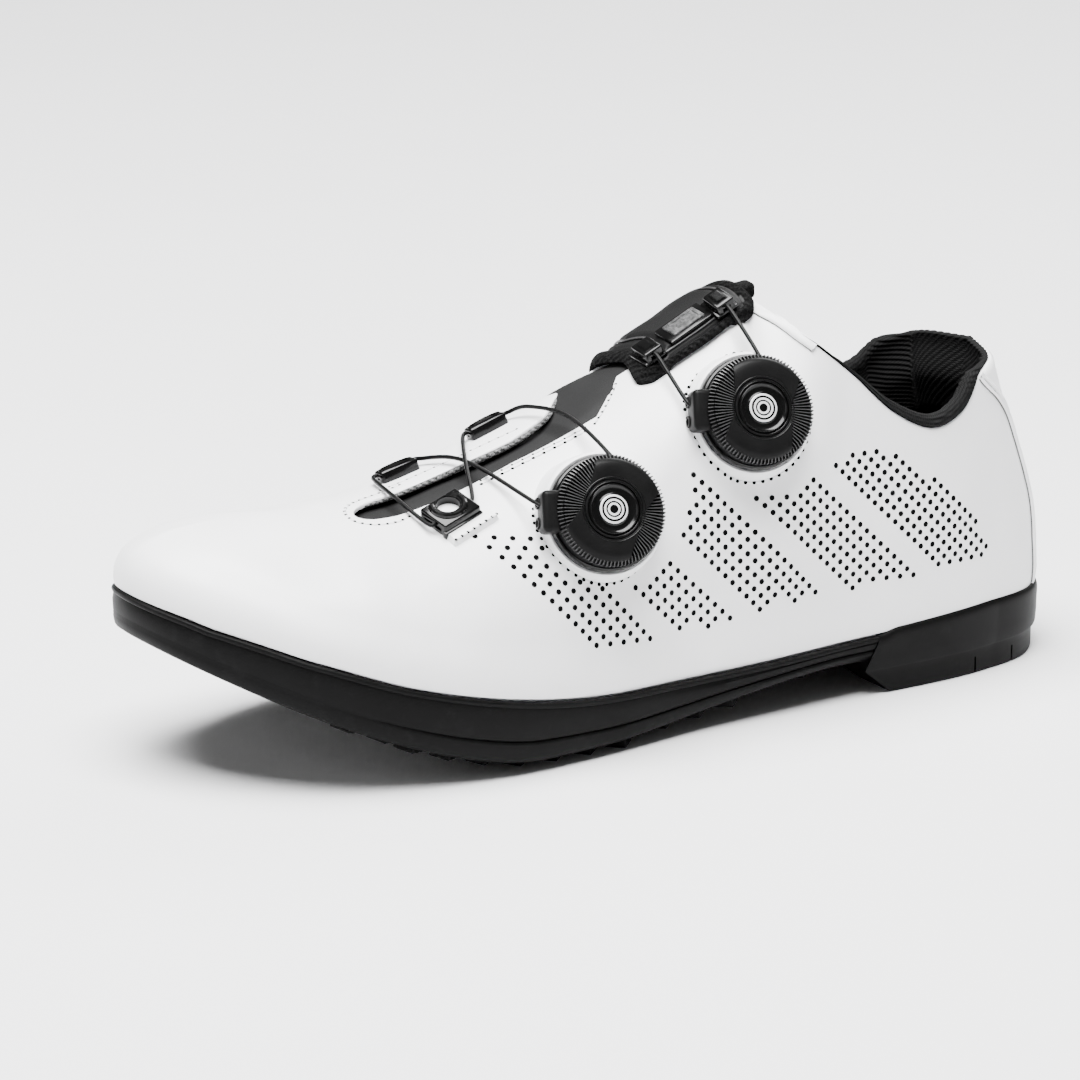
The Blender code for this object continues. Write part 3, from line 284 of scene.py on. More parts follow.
@lru_cache(maxsize=None)
def rib_points(side, place):
    """Points down a rib from its top to the sole's edge, with the length from the top to each."""
    row = rib_row(place)
    foot = outline(side, row.sweep, SIDEWALL + GAP, edge_height(row.sweep))
    top = rib_top(side, place)
    facing = Vector((-math.cos(math.pi * row.sweep), side * math.sin(math.pi * row.sweep), 0))
    ahead = rib_top(side, min(place + 0.1, LAST_RIB))
    behind = rib_top(side, place - 0.1 if place > 0.1 else 0)
    level = ahead.x - behind.x
    slope = (ahead.z - behind.z) / level if abs(level) > 1e-6 else 0.0
    slope *= smooth_step(RIDGE_RIB - 0.6, RIDGE_RIB, place)
    tall = top.z - foot.z
    first = foot + facing * row.flare * BALL_WIDTH + Vector((0, 0, row.rise * tall))
    aside = facing * row.crown * BALL_WIDTH
    second = top + aside + Vector((0, 0, aside.x * slope - row.drop * tall))
    points = []
    for k in range(81):
        t = 1 - k / 80
        start, end = (1 - t) ** 3 * foot, t**3 * top
        points.append(start + 3 * t * (1 - t) ** 2 * first + 3 * t * t * (1 - t) * second + end)
    down = [0.0]
    for near, far in zip(points, points[1:]):
        down.append(down[-1] + (far - near).length)
    return points, down


def rib_length(side, place):
    return rib_points(side, place)[1][-1]


def on_rib(side, place, down):
    """The point a given length down from the rib's top, or past the ridge on the other side."""
    if down < 0 and place >= RIDGE_RIB:
        return on_rib(-side, place, -down)
    points, lengths = rib_points(side, place)
    if down <= 0:
        return points[0] + (points[0] - points[1]).normalized() * -down
    k = bisect_left(lengths, down)
    if k >= len(points):
        return points[-1] + (points[-1] - points[-2]).normalized() * (down - lengths[-1])
    return points[k - 1].lerp(points[k], (down - lengths[k - 1]) / (lengths[k] - lengths[k - 1]))


def outward(side, place, down):
    """The upper's outward normal."""
    step = 0.04
    first, last = (RIDGE_RIB, LAST_RIB) if place >= RIDGE_RIB else (0.0, RIDGE_RIB - step)
    low, high = max(first, place - step), min(last, place + step)
    along = on_rib(side, high, down) - on_rib(side, low, down)
    upward = on_rib(side, place, down - 1 * MM) - on_rib(side, place, down + 1 * MM)
    return (upward.cross(along) * side).normalized()


def surface(side, place, down, lift=0.0):
    """A point of the upper's outer face, moved out by a lift."""
    normal = outward(side, place, down)
    if place <= 0 or place >= LAST_RIB:
        normal = Vector((normal.x, 0, normal.z)).normalized()
    return on_rib(side, place, down) + normal * lift


def across(place, reach, lift=0.0):
    """A point over the ridge: reach is the length from it, outer side positive."""
    if abs(reach) < 0.01 * MM:
        return (surface(1, place, 0, lift) + surface(-1, place, 0, lift)) / 2
    return surface(1 if reach > 0 else -1, place, abs(reach), lift)


def over_instep(place, reach, lift=0.0):
    """A point over the ridge that may lie past its rear end, where the line runs on straight."""
    if place >= RIDGE_RIB:
        return across(place, reach, lift)
    end, before = across(RIDGE_RIB, reach, lift), across(RIDGE_RIB + 0.5, reach, lift)
    return end + (end - before) * (RIDGE_RIB - place) / 0.5


def throat_row(place):
    """The throat's edges at a rib, straight from corner to corner."""
    low = max(k for k in range(len(THROAT) - 1) if THROAT[k].rib <= place or k == 0)
    part = max(0.0, (place - THROAT[low].rib) / (THROAT[low + 1].rib - THROAT[low].rib))
    return ThroatRow(*(a + (b - a) * part for a, b in zip(THROAT[low], THROAT[low + 1])))


def throat_cut(side, place):
    """How far below the ridge the upper ends on one side of the throat."""
    if place <= CORNER_RIB or place >= THROAT_RIB + 1:
        return 0.0
    row = throat_row(min(place, THROAT_RIB))
    middle = side * (row.outer + row.inner) / 2 * BALL_WIDTH
    if place >= THROAT_RIB:
        return middle * (1 - smooth_step(THROAT_RIB, THROAT_RIB + 1, place))
    front = max(0.0, 1 - (THROAT_RIB - place) / THROAT_ROUND)
    half = (row.outer - row.inner) / 2 * BALL_WIDTH * math.sqrt(1 - front * front)
    return (middle + half) * min(1.0, (place - CORNER_RIB) / (RIDGE_RIB - CORNER_RIB))


print("rib over the instep:", round(rib_length(1, 9) / MM, 1), "mm long")

# %% [markdown]
# ## Tools of the workshop
# A few helpers do what a modeller does over and over: clear the selection, add a grid and lay its corners
# on the shoe's lines, join doubles, turn normals outwards, spin a profile, run a tube along a route, and
# stamp one finished shape many times. Each leaves its object at the origin with its place in its mesh.

# %% Selection and finishing


def clear_selection():
    if bpy.context.object and bpy.context.object.mode != "OBJECT":
        bpy.ops.object.mode_set(mode="OBJECT")
    bpy.ops.object.select_all(action="DESELECT")


def only(piece):
    """Makes a piece the active and only selected object."""
    clear_selection()
    piece.select_set(True)
    bpy.context.view_layer.objects.active = piece


def edit(piece, pick="SELECT"):
    """Opens a piece in edit mode, all of it selected or none."""
    only(piece)
    bpy.ops.object.mode_set(mode="EDIT")
    bpy.ops.mesh.select_all(action=pick)


def leave_edit():
    bpy.ops.object.mode_set(mode="OBJECT")


def weld(piece, reach=0.005 * MM):
    """Merges doubles and points the normals out."""
    edit(piece)
    bpy.ops.mesh.remove_doubles(threshold=reach)
    bpy.ops.mesh.normals_make_consistent(inside=False)
    leave_edit()
    return piece


def capped(piece):
    """Closes a shell's open ends with a face each and points the normals out."""
    edit(piece, "DESELECT")
    bpy.ops.mesh.select_mode(type="EDGE")
    bpy.ops.mesh.select_non_manifold()
    bpy.ops.mesh.fill_holes(sides=0)
    bpy.ops.mesh.select_all(action="SELECT")
    bpy.ops.mesh.normals_make_consistent(inside=False)
    leave_edit()
    return piece


def face_off(piece, inner):
    """Flips the faces if most of them look towards an inner point."""
    total = sum(face.area * face.normal.dot(face.center - Vector(inner)) for face in piece.data.polygons)
    if total < 0:
        edit(piece)
        bpy.ops.mesh.flip_normals()
        leave_edit()
    return piece


def smooth(piece, angle=35):
    only(piece)
    bpy.ops.object.shade_smooth_by_angle(angle=math.radians(angle))
    return piece


def settle(piece, place):
    """Puts a piece that was modelled at the origin in its place, and the place into its mesh."""
    piece.data.transform(place)
    piece.data.update()
    return piece


def grounded(look):
    """The primitive just added, its place moved into its mesh, with a finish."""
    made = bpy.context.object
    settle(made, made.matrix_world.copy())
    made.matrix_world = Matrix.Identity(4)
    made.data.materials.append(look)
    return made


def apply_all(piece):
    only(piece)
    for change in list(piece.modifiers):
        bpy.ops.object.modifier_apply(modifier=change.name)
    return piece


def thickened(piece, thickness, rim=0, inside=0):
    """Gives an open sheet its thickness inwards, with other finishes for the rim and the inside."""
    solid = piece.modifiers.new("thickness", "SOLIDIFY")
    solid.thickness = thickness
    solid.offset = -1
    solid.use_even_offset = False
    solid.material_offset_rim = rim
    solid.material_offset = inside
    return apply_all(piece)


# %% Laid grids, turned profiles and tubes


def laid_grid(name, rows, look, ring=False):
    """A grid primitive with its corners laid on rows of points; its UVs are millimetres along and down."""
    points = np.array([[tuple(point) for point in row] for row in rows])
    if ring:
        points = np.concatenate([points, points[:, :1]], axis=1)
    count, along = points.shape[:2]
    clear_selection()
    bpy.ops.mesh.primitive_grid_add(x_subdivisions=along - 1, y_subdivisions=count - 1, size=1)
    made = bpy.context.object
    made.name = made.data.name = name
    made.data.vertices.foreach_set("co", points.ravel())
    u = np.concatenate([[0], np.cumsum(np.linalg.norm(np.diff(points, axis=1), axis=2).mean(axis=0))]) / MM
    v = np.concatenate([[0], np.cumsum(np.linalg.norm(np.diff(points, axis=0), axis=2).mean(axis=1))]) / MM
    corner = np.empty(len(made.data.loops), dtype=int)
    made.data.loops.foreach_get("vertex_index", corner)
    uv = np.stack([u[corner % along], v[corner // along]], axis=1)
    made.data.uv_layers.active.data.foreach_set("uv", uv.ravel())
    made.data.materials.append(look)
    made.data.update()
    return made


def turned(name, profile, sides, look, place=None):
    """A closed profile of radius and height in millimetres, spun round the Z axis."""
    clear_selection()
    bpy.ops.mesh.primitive_circle_add(vertices=len(profile), radius=1)
    made = bpy.context.object
    made.name = made.data.name = name
    for corner, (radius, height) in zip(made.data.vertices, profile):
        corner.co = (radius * MM, 0, height * MM)
    edit(made)
    bpy.ops.mesh.spin(steps=sides, angle=2 * math.pi, center=(0, 0, 0), axis=(0, 0, 1))
    bpy.ops.mesh.select_all(action="SELECT")
    bpy.ops.mesh.remove_doubles(threshold=0.002 * MM)
    bpy.ops.mesh.dissolve_degenerate(threshold=0.001 * MM)
    bpy.ops.mesh.select_all(action="SELECT")
    bpy.ops.mesh.normals_make_consistent(inside=False)
    leave_edit()
    made.data.materials.append(look)
    if place is not None:
        settle(made, place)
    return smooth(made)


def smooth_line(points, step):
    """Points spaced along a smooth curve through the points of a route."""
    points = [Vector(point) for point in points]
    fine = []
    for k in range(len(points) - 1):
        before = points[k - 1] if k else 2 * points[0] - points[1]
        after = points[k + 2] if k + 2 < len(points) else 2 * points[-1] - points[-2]
        for n in range(12):
            t = n / 12
            a, b = (points[k + 1] - before) / 2, (after - points[k]) / 2
            rise = points[k + 1] - points[k]
            fine.append(points[k] + a * t + (3 * rise - 2 * a - b) * t**2 + (a + b - 2 * rise) * t**3)
    fine.append(points[-1])
    walked = [0.0]
    for near, far in zip(fine, fine[1:]):
        walked.append(walked[-1] + (far - near).length)
    count = max(2, round(walked[-1] / step))
    spaced = []
    for n in range(count + 1):
        target = walked[-1] * n / count
        k = max(1, min(len(fine) - 1, bisect_left(walked, target)))
        part = (target - walked[k - 1]) / max(1e-12, walked[k] - walked[k - 1])
        spaced.append(fine[k - 1].lerp(fine[k], part))
    return spaced


def tube(name, line, radius, look, sides=12, ups=None, flat=1.0):
    """A tube along points, closed at its ends; flat squeezes it along the ups."""
    rings = []
    up = Vector((0, 0, 1))
    for k, point in enumerate(line):
        along = (line[min(k + 1, len(line) - 1)] - line[max(k - 1, 0)]).normalized()
        up = Vector(ups[k]) if ups else up
        up = (up - along * up.dot(along)).normalized()
        aside = along.cross(up)
        size = radius(k / (len(line) - 1)) if callable(radius) else radius
        turns = [2 * math.pi * n / sides for n in range(sides)]
        ring = [point + size * (aside * math.cos(t) + up * math.sin(t) * flat) for t in turns]
        rings += [[point] * sides] if k == 0 else []
        rings.append(ring)
    rings.append([line[-1]] * sides)
    made = laid_grid(name, rings, look, ring=True)
    return smooth(weld(made), 60)


# %% Stamps


def placed(origin, along, out):
    """A matrix with its Z out and its X as near as it can be to a direction."""
    z = Vector(out).normalized()
    y = z.cross(Vector(along)).normalized()
    return Matrix.Translation(origin) @ Matrix((y.cross(z), y, z)).transposed().to_4x4()


def stamped(name, model, places, angle=35):
    """Copies of one modelled shape in one mesh, one for each place. The model itself goes."""
    source = model.data
    count = len(source.vertices)
    points = np.empty(count * 3)
    source.vertices.foreach_get("co", points)
    points = points.reshape(-1, 3)
    faces = [tuple(face.vertices) for face in source.polygons]
    looks = [face.material_index for face in source.polygons]
    every = [points @ np.array(place.to_3x3()).T + np.array(place.translation) for place in places]
    corners = [tuple(v + k * count for v in face) for k in range(len(places)) for face in faces]
    mesh = bpy.data.meshes.new(name)
    mesh.from_pydata(np.concatenate(every).tolist(), [], corners)
    for look in source.materials:
        mesh.materials.append(look)
    mesh.polygons.foreach_set("material_index", looks * len(places))
    made = bpy.data.objects.new(name, mesh)
    bpy.context.scene.collection.objects.link(made)
    bpy.data.objects.remove(model, do_unlink=True)
    return smooth(made, angle)


def pick_faces(piece, rule):
    """Selects the faces that a rule on their middle and normal names, and opens edit mode."""
    only(piece)
    bpy.ops.object.mode_set(mode="EDIT")
    bpy.ops.mesh.select_mode(type="FACE")
    data = bmesh.from_edit_mesh(piece.data)
    for face in data.faces:
        face.select_set(bool(rule(face.calc_center_median(), face.normal)))
    bmesh.update_edit_mesh(piece.data)


def bevelled_block(name, size, bevel, look, segments=2):
    """A block standing on the ground plane, with rounded edges; sizes in millimetres."""
    clear_selection()
    bpy.ops.mesh.primitive_cube_add(size=1)
    made = bpy.context.object
    made.name = made.data.name = name
    to_size = Matrix.Diagonal((*[s * MM for s in size], 1))
    made.data.transform(Matrix.Translation((0, 0, size[2] * MM / 2)) @ to_size)
    edit(made)
    bpy.ops.mesh.bevel(offset=bevel * MM, segments=segments, affect="EDGES", clamp_overlap=True)
    leave_edit()
    made.data.materials.append(look)
    return smooth(made, 40)


def sunk(piece, way, steps):
    """Insets the face that looks a given way, once for each thickness and depth in millimetres."""
    pick_faces(piece, lambda centre, normal: normal.dot(Vector(way)) > 0.99)
    for thickness, depth in steps:
        bpy.ops.mesh.inset(thickness=thickness * MM, depth=depth * MM)
    leave_edit()
    return piece


def second_look(piece, look, rule):
    """Gives a second finish to the faces that a rule names."""
    piece.data.materials.append(look)
    for face in piece.data.polygons:
        face.material_index = 1 if rule(face) else 0


def joined(name, parts):
    """Joins parts in one object."""
    clear_selection()
    for part in parts:
        part.select_set(True)
    bpy.context.view_layer.objects.active = parts[0]
    bpy.ops.object.join()
    made = bpy.context.object
    made.name = made.data.name = name
    return made


print("helpers ready")

# %% [markdown]
# ## Finishes
# Grain, weave and dust come back in many of the shoe's materials, each at its own scale. They are shader
# node groups with named inputs: a material places the group, gives it its own values and feeds what comes
# out to colour, roughness and bump.

# %% Node helpers


def new_group(name, inputs, outputs):
    """An empty shader group with number inputs, and outputs named with their kind."""
    made = bpy.data.node_groups.new(name, "ShaderNodeTree")
    for title, value in inputs:
        socket = made.interface.new_socket(title, in_out="INPUT", socket_type="NodeSocketFloat")
        socket.default_value = value
    for title in outputs:
        made.interface.new_socket(title, in_out="OUTPUT", socket_type="NodeSocketFloat")
    return made, made.nodes.new("NodeGroupInput"), made.nodes.new("NodeGroupOutput")


def put(tree, kind, inputs=None, **settings):
    """Adds a node; inputs are values or other nodes' outputs by socket name or number."""
    node = tree.nodes.new(kind)
    for key, value in settings.items():
        setattr(node, key, value)
    for key, value in (inputs or {}).items():
        if isinstance(value, bpy.types.NodeSocket):
            tree.links.new(value, node.inputs[key])
        else:
            node.inputs[key].default_value = value
    return node


def sum_of(tree, operation, first, second):
    return put(tree, "ShaderNodeMath", {0: first, 1: second}, operation=operation).outputs[0]


def place_on(tree, source):
    """The object's own coordinates, or its UVs in millimetres."""
    return put(tree, "ShaderNodeTexCoord").outputs[source]


def noise(tree, vector, scale, detail=3.0, rough=0.55):
    found = {"Vector": vector, "Scale": scale, "Detail": detail, "Roughness": rough}
    return put(tree, "ShaderNodeTexNoise", found).outputs["Fac"]


def wave(tree, value, scale):
    """The sine of a value times a scale."""
    return put(tree, "ShaderNodeMath", {0: sum_of(tree, "MULTIPLY", value, scale)},
               operation="SINE").outputs[0]


# %% Shared effects
grain, start, end = new_group("leather_grain", [("Pebble", 2600.0), ("Pores", 9000.0), ("Blotch", 60.0)],
                              ["Height", "Blotch"])
where = place_on(grain, "Object")
cells = put(grain, "ShaderNodeTexVoronoi", {"Vector": where, "Scale": start.outputs["Pebble"]},
            feature="SMOOTH_F1")
pores = noise(grain, where, start.outputs["Pores"], 2.0)
grain.links.new(sum_of(grain, "ADD", cells.outputs["Distance"], sum_of(grain, "MULTIPLY", pores, 0.35)),
                end.inputs["Height"])
grain.links.new(noise(grain, where, start.outputs["Blotch"], 4.0), end.inputs["Blotch"])

dust, start, end = new_group("dust", [("Scale", 120.0), ("Low", 0.52), ("High", 0.75)], ["Amount"])
where = place_on(dust, "Object")
patches = noise(dust, where, start.outputs["Scale"], 6.0, 0.7)
cut_off = put(dust, "ShaderNodeMapRange", {0: patches, 1: start.outputs["Low"], 2: start.outputs["High"]})
dust.links.new(cut_off.outputs[0], end.inputs["Amount"])

weave, start, end = new_group("thread_weave", [("Across", 7.0), ("Along", 7.0), ("Slant", 0.0)],
                              ["Height", "Thread"])
spread = put(weave, "ShaderNodeSeparateXYZ", {0: place_on(weave, "UV")})
slanted = sum_of(weave, "MULTIPLY", spread.outputs[1], start.outputs["Slant"])
one = wave(weave, sum_of(weave, "ADD", spread.outputs[0], slanted), start.outputs["Across"])
two = wave(weave, spread.outputs[1], start.outputs["Along"])
both = sum_of(weave, "MULTIPLY", one, two)
fuzz = noise(weave, place_on(weave, "Object"), 5000.0, 2.0)
weave.links.new(sum_of(weave, "ADD", both, sum_of(weave, "MULTIPLY", fuzz, 0.8)), end.inputs["Height"])
weave.links.new(put(weave, "ShaderNodeMapRange", {0: both, 1: -1.0, 2: 0.4}).outputs[0], end.inputs["Thread"])

marl, start, end = new_group("marl", [("Twist", 5.0), ("Fine", 1800.0)], ["Height", "Light"])
spread = put(marl, "ShaderNodeSeparateXYZ", {0: place_on(marl, "UV")})
turn = sum_of(marl, "ADD", sum_of(marl, "MULTIPLY", spread.outputs[1], start.outputs["Twist"]),
              sum_of(marl, "MULTIPLY", spread.outputs[0], 2.4))
kinks = sum_of(marl, "MULTIPLY", noise(marl, place_on(marl, "Object"), 1300.0), 9.0)
strand = wave(marl, sum_of(marl, "ADD", turn, kinks), 1.0)
hairs = noise(marl, place_on(marl, "Object"), start.outputs["Fine"], 3.0, 0.7)
marl.links.new(sum_of(marl, "ADD", sum_of(marl, "MULTIPLY", strand, 0.35), hairs), end.inputs["Height"])
lightness = sum_of(marl, "ADD", sum_of(marl, "MULTIPLY", strand, 0.1), hairs)
paler = put(marl, "ShaderNodeMapRange", {0: lightness, 1: 0.38, 2: 0.72})
marl.links.new(paler.outputs[0], end.inputs["Light"])
print("effects:", [group.name for group in bpy.data.node_groups])

# %% Material helper


def new_look(name, colour, roughness, **own):
    """A Principled material; own values go on the shader's own sockets, with _ for a space."""
    made = bpy.data.materials.new(name)
    made.use_nodes = True
    shader = made.node_tree.nodes["Principled BSDF"]
    shader.inputs["Base Color"].default_value = (colour, colour, colour * 1.01, 1)
    shader.inputs["Roughness"].default_value = roughness
    for key, value in own.items():
        shader.inputs[key.replace("_", " ")].default_value = value
    return made, made.node_tree, shader


def grown(tree, group, **values):
    """Places a shared effect with its own values."""
    node = put(tree, "ShaderNodeGroup", node_tree=group)
    for key, value in values.items():
        node.inputs[key].default_value = value
    return node


def colour_by(tree, shader, mask, dark, light):
    """Base colour between two greys by a mask."""
    ramp = put(tree, "ShaderNodeMix", {"Factor": mask}, data_type="RGBA")
    ramp.inputs[6].default_value = (dark, dark, dark * 1.01, 1)
    ramp.inputs[7].default_value = (light, light, light * 1.01, 1)
    tree.links.new(ramp.outputs[2], shader.inputs["Base Color"])


def rough_by(tree, shader, mask, low, high):
    found = put(tree, "ShaderNodeMapRange", {0: mask, 3: low, 4: high})
    tree.links.new(found.outputs[0], shader.inputs["Roughness"])


def bump_by(tree, shader, height, strength, depth):
    """Bump of a depth in metres."""
    bump = put(tree, "ShaderNodeBump", {"Height": height, "Strength": strength, "Distance": depth})
    tree.links.new(bump.outputs[0], shader.inputs["Normal"])


def finish(name, colour, roughness, group, scales, greys=None, rough=None, bump=None, mask="Blotch",
           rough_mask="Height", **own):
    """A material with one shared effect, whose outputs steer its greys, its roughness and its bump."""
    made, tree, shader = new_look(name, colour, roughness, **own)
    look = grown(tree, group, **scales)
    if greys:
        colour_by(tree, shader, look.outputs[mask], *greys)
    if rough:
        rough_by(tree, shader, look.outputs[rough_mask], *rough)
    if bump:
        bump_by(tree, shader, look.outputs["Height"], *bump)
    return made, tree, shader


def grains(pebble, pores, blotch):
    return {"Pebble": pebble, "Pores": pores, "Blotch": blotch}


def threads(across, along, slant):
    return {"Across": across, "Along": along, "Slant": slant}


def dusted(tree, shader, scale, low, high, greys):
    """Pale dust in patches over a dark colour."""
    patches = grown(tree, dust, Scale=scale, Low=low, High=high)
    colour_by(tree, shader, patches.outputs["Amount"], *greys)


# %% [markdown]
# The leather is a smooth white synthetic with a very fine grain and a thin lacquer. Its grain is only just
# felt: it breaks up the gloss, and the forms stay calm. The bump is given as strength and depth in metres.

# %% White leather
LEATHER, _, _ = finish("white_leather", 0.80, 0.40, grain, grains(2400.0, 9000.0, 45.0), (0.76, 0.83),
                       (0.34, 0.50), (0.18, 0.00006), Coat_Weight=0.15, Coat_Roughness=0.3)
WHITE_THREAD, _, _ = finish("white_thread", 0.8, 0.6, grain, grains(6000.0, 14000.0, 500.0), (0.66, 0.84),
                            bump=(0.6, 0.00005))
# The holes' dishes, the stitches' pinholes and the ports' mouths are a near-black disc: painted shade for
# their depth.
HOLE_SHADE, _, _ = finish("punched_hole", 0.002, 0.9, grain, grains(5000.0, 12000.0, 800.0), (0.0008, 0.003),
                       Specular_IOR_Level=0.02)
CUT_EDGE, _, _ = finish("marl_cut_edge", 0.05, 0.9, marl, {"Twist": 3.0, "Fine": 1500.0}, (0.004, 0.22),
                        bump=(0.8, 0.0003), mask="Light", Sheen_Weight=0.1)
# The seam shade is painted shade: a dark grey laid along the feet and low grooves of the seams' strips.
SEAM_SHADE, _, _ = finish("seam_gap", 0.08, 0.8, grain, grains(5000.0, 12000.0, 700.0), (0.03, 0.16),
                        Specular_IOR_Level=0.1)

# %% [markdown]
# Five fabrics: the knit of the collar, the dark lining inside, the fuzzy binding of the strap, the
# footbed's cover and the tongue's smooth cloth. Weave and twist follow the piece's own UVs, which are in
# millimetres.

# %% Fabrics
KNIT, _, _ = finish("black_knit", 0.004, 0.9, weave, threads(9.0, 4.2, 0.5), (0.0012, 0.010),
                    bump=(0.7, 0.00018), mask="Thread", Specular_IOR_Level=0.08)
MESH_LINING, _, _ = finish("mesh_lining", 0.01, 0.85, weave, threads(5.0, 5.0, 0.0), (0.003, 0.016),
                           bump=(0.6, 0.0002), mask="Thread", Specular_IOR_Level=0.2)
BINDING, _, _ = finish("felt_binding", 0.004, 0.95, marl, {"Twist": 3.0, "Fine": 1600.0}, (0.0006, 0.010),
                       bump=(0.9, 0.0004), mask="Light", Specular_IOR_Level=0.06)
FOOTBED, _, _ = finish("footbed_fabric", 0.02, 0.9, weave, threads(4.0, 4.0, 1.0), (0.008, 0.03),
                       bump=(0.6, 0.0002), mask="Thread", Sheen_Weight=0.05, Specular_IOR_Level=0.2)
TONGUE_CLOTH, _, _ = finish("tongue_cloth", 0.009, 0.6, grain, grains(3800.0, 12000.0, 70.0), (0.006, 0.011),
                            (0.5, 0.75), (0.35, 0.00008), Specular_IOR_Level=0.12)

# %% [markdown]
# The black strap is a coated synthetic; the dials and guides are moulded and glossy, with fine handling
# marks; the laces have a coated braid. The strap's plate is mottled, so its blotches are pulled apart
# first.

# %% Strap, plastics and metal
STRAP_SKIN, _, _ = finish("strap_skin", 0.004, 0.42, grain, grains(3000.0, 10000.0, 90.0), (0.002, 0.005),
                          (0.38, 0.6), (0.4, 0.00009), Specular_IOR_Level=0.16)
PLATE, tree, shader = new_look("grey_plate", 0.06, 0.4, Specular_IOR_Level=0.4)
look = grown(tree, grain, **grains(1500.0, 6000.0, 700.0))
mottled = put(tree, "ShaderNodeMapRange", {0: look.outputs["Blotch"], 1: 0.42, 2: 0.62})
colour_by(tree, shader, mottled.outputs[0], 0.008, 0.06)
rough_by(tree, shader, look.outputs["Height"], 0.3, 0.6)
bump_by(tree, shader, look.outputs["Height"], 0.9, 0.0003)
SATIN_PLASTIC, _, _ = finish("satin_plastic", 0.005, 0.34, grain, grains(7000.0, 16000.0, 160.0),
                             (0.003, 0.006),
                             (0.28, 0.46), (0.2, 0.00003), rough_mask="Blotch", Specular_IOR_Level=0.06)
GLOSS_PLASTIC, _, _ = finish("gloss_plastic", 0.0015, 0.15, grain, grains(4000.0, 12000.0, 200.0),
                             (0.001, 0.002), (0.10, 0.24), (0.1, 0.00003), rough_mask="Blotch",
                             Specular_IOR_Level=0.22, Coat_Weight=0.05, Coat_Roughness=0.08)
SILVER, _, _ = finish("silver_disc", 0.66, 0.25, grain, grains(9000.0, 16000.0, 300.0), None, (0.2, 0.36),
                      (0.1, 0.00002), rough_mask="Blotch", Metallic=0.25)
LACE, _, _ = finish("black_lace", 0.002, 0.3, weave, threads(9.0, 9.0, 1.0), (0.0006, 0.003),
                    bump=(0.35, 0.00006), mask="Thread", Specular_IOR_Level=0.14)
# The tops of the knob's teeth and ribs and the strap's bead get a lighter, glossier black: a painted
# highlight.
RIDGE_HIGHLIGHT, _, _ = finish("moulded_edge", 0.03, 0.3, grain, grains(7000.0, 16000.0, 900.0), (0.015, 0.06),
                       bump=(0.2, 0.00003), Specular_IOR_Level=0.3)

# %% [markdown]
# The sole is matt rubber that carries a little pale dust. The lugs' tops are pebbled, the heel's tread is
# knurled in a fine square mesh with painted shade in its grooves, and the grey pad is worn pale where it
# meets the pedal.

# %% Rubbers
RUBBER, tree, shader = finish("black_rubber", 0.003, 0.42, grain, grains(3500.0, 9000.0, 80.0), None,
                              (0.36, 0.60), (0.25, 0.00008), rough_mask="Blotch", Specular_IOR_Level=0.07)
dusted(tree, shader, 160.0, 0.55, 0.85, (0.0018, 0.006))
LUG_RUBBER, tree, shader = finish("pebbled_rubber", 0.006, 0.55, grain, grains(750.0, 2600.0, 120.0), None,
                                  (0.4, 0.7), (1.0, 0.0006), Specular_IOR_Level=0.2)
dusted(tree, shader, 300.0, 0.5, 0.8, (0.005, 0.012))
PAD_RUBBER, tree, shader = finish("pad_rubber", 0.12, 0.55, grain, grains(2200.0, 6000.0, 180.0), None,
                                  (0.45, 0.65), (0.5, 0.0001), rough_mask="Blotch")
dusted(tree, shader, 260.0, 0.5, 0.9, (0.10, 0.15))
WORN_PAD, tree, shader = finish("worn_pad_rubber", 0.22, 0.45, grain, grains(2600.0, 7000.0, 200.0), None,
                                None,
                                (0.4, 0.0001))
dusted(tree, shader, 900.0, 0.45, 0.7, (0.26, 0.10))

KNURL_GROOVE_SHADE, tree, shader = new_look("knurled_rubber", 0.006, 0.6, Specular_IOR_Level=0.15)
spread = put(tree, "ShaderNodeSeparateXYZ", {0: place_on(tree, "Object")})
squares = sum_of(tree, "MAXIMUM", *(wave(tree, spread.outputs[k], 6500.0) for k in (0, 1)))
raised = put(tree, "ShaderNodeMapRange", {0: squares, 1: -0.4, 2: 1.0})
# Raised squares lighter and grooves darker: painted shade in the knurl's grooves.
colour_by(tree, shader, raised.outputs[0], 0.002, 0.010)
bump_by(tree, shader, squares, 0.9, 0.0003)

FLOOR_PAINT, tree, shader = new_look("studio_floor", 0.70, 0.85)
dusted(tree, shader, 3.0, 0.3, 0.8, (0.69, 0.72))
print("materials:", len(bpy.data.materials))

# %% [markdown]
# The floor is one plain pale sheet, wide enough to fill the picture's background from any side.

# %% Floor
clear_selection()
bpy.ops.mesh.primitive_plane_add(size=14)
floor = bpy.context.object
floor.name = "studio_floor"
floor.data.materials.append(FLOOR_PAINT)

# %% [markdown]
# ## Upper
# The upper is one moulded skin. Modelled by hand it would be a sculpted shell; here a fine grid is laid
# on the same ribs as the solid, so that it fits, with its top edge rolled over. Soft troughs and
# swellings are added where the leather is drawn in round the dials and creases over the ball of the
# foot.

# %% Places of the grid
places = [k / 10 for k in range(10)] + [0.95 + k * 0.05 for k in range(19)]
places += [1.9 + k / 10 for k in range(132)]
places += [row.rib for row in THROAT[1:-1]]
places += [THROAT_RIB - THROAT_ROUND * share for share in (1.0, 0.75, 0.55, 0.38, 0.25, 0.15, 0.07, 0.02)]
places += [THROAT_RIB, THROAT_RIB + 0.02, CORNER_RIB, CORNER_RIB + 0.05]
UPPER_PLACES = sorted({round(place, 4) for place in places if place <= LAST_RIB})
print("columns on each side:", len(UPPER_PLACES))

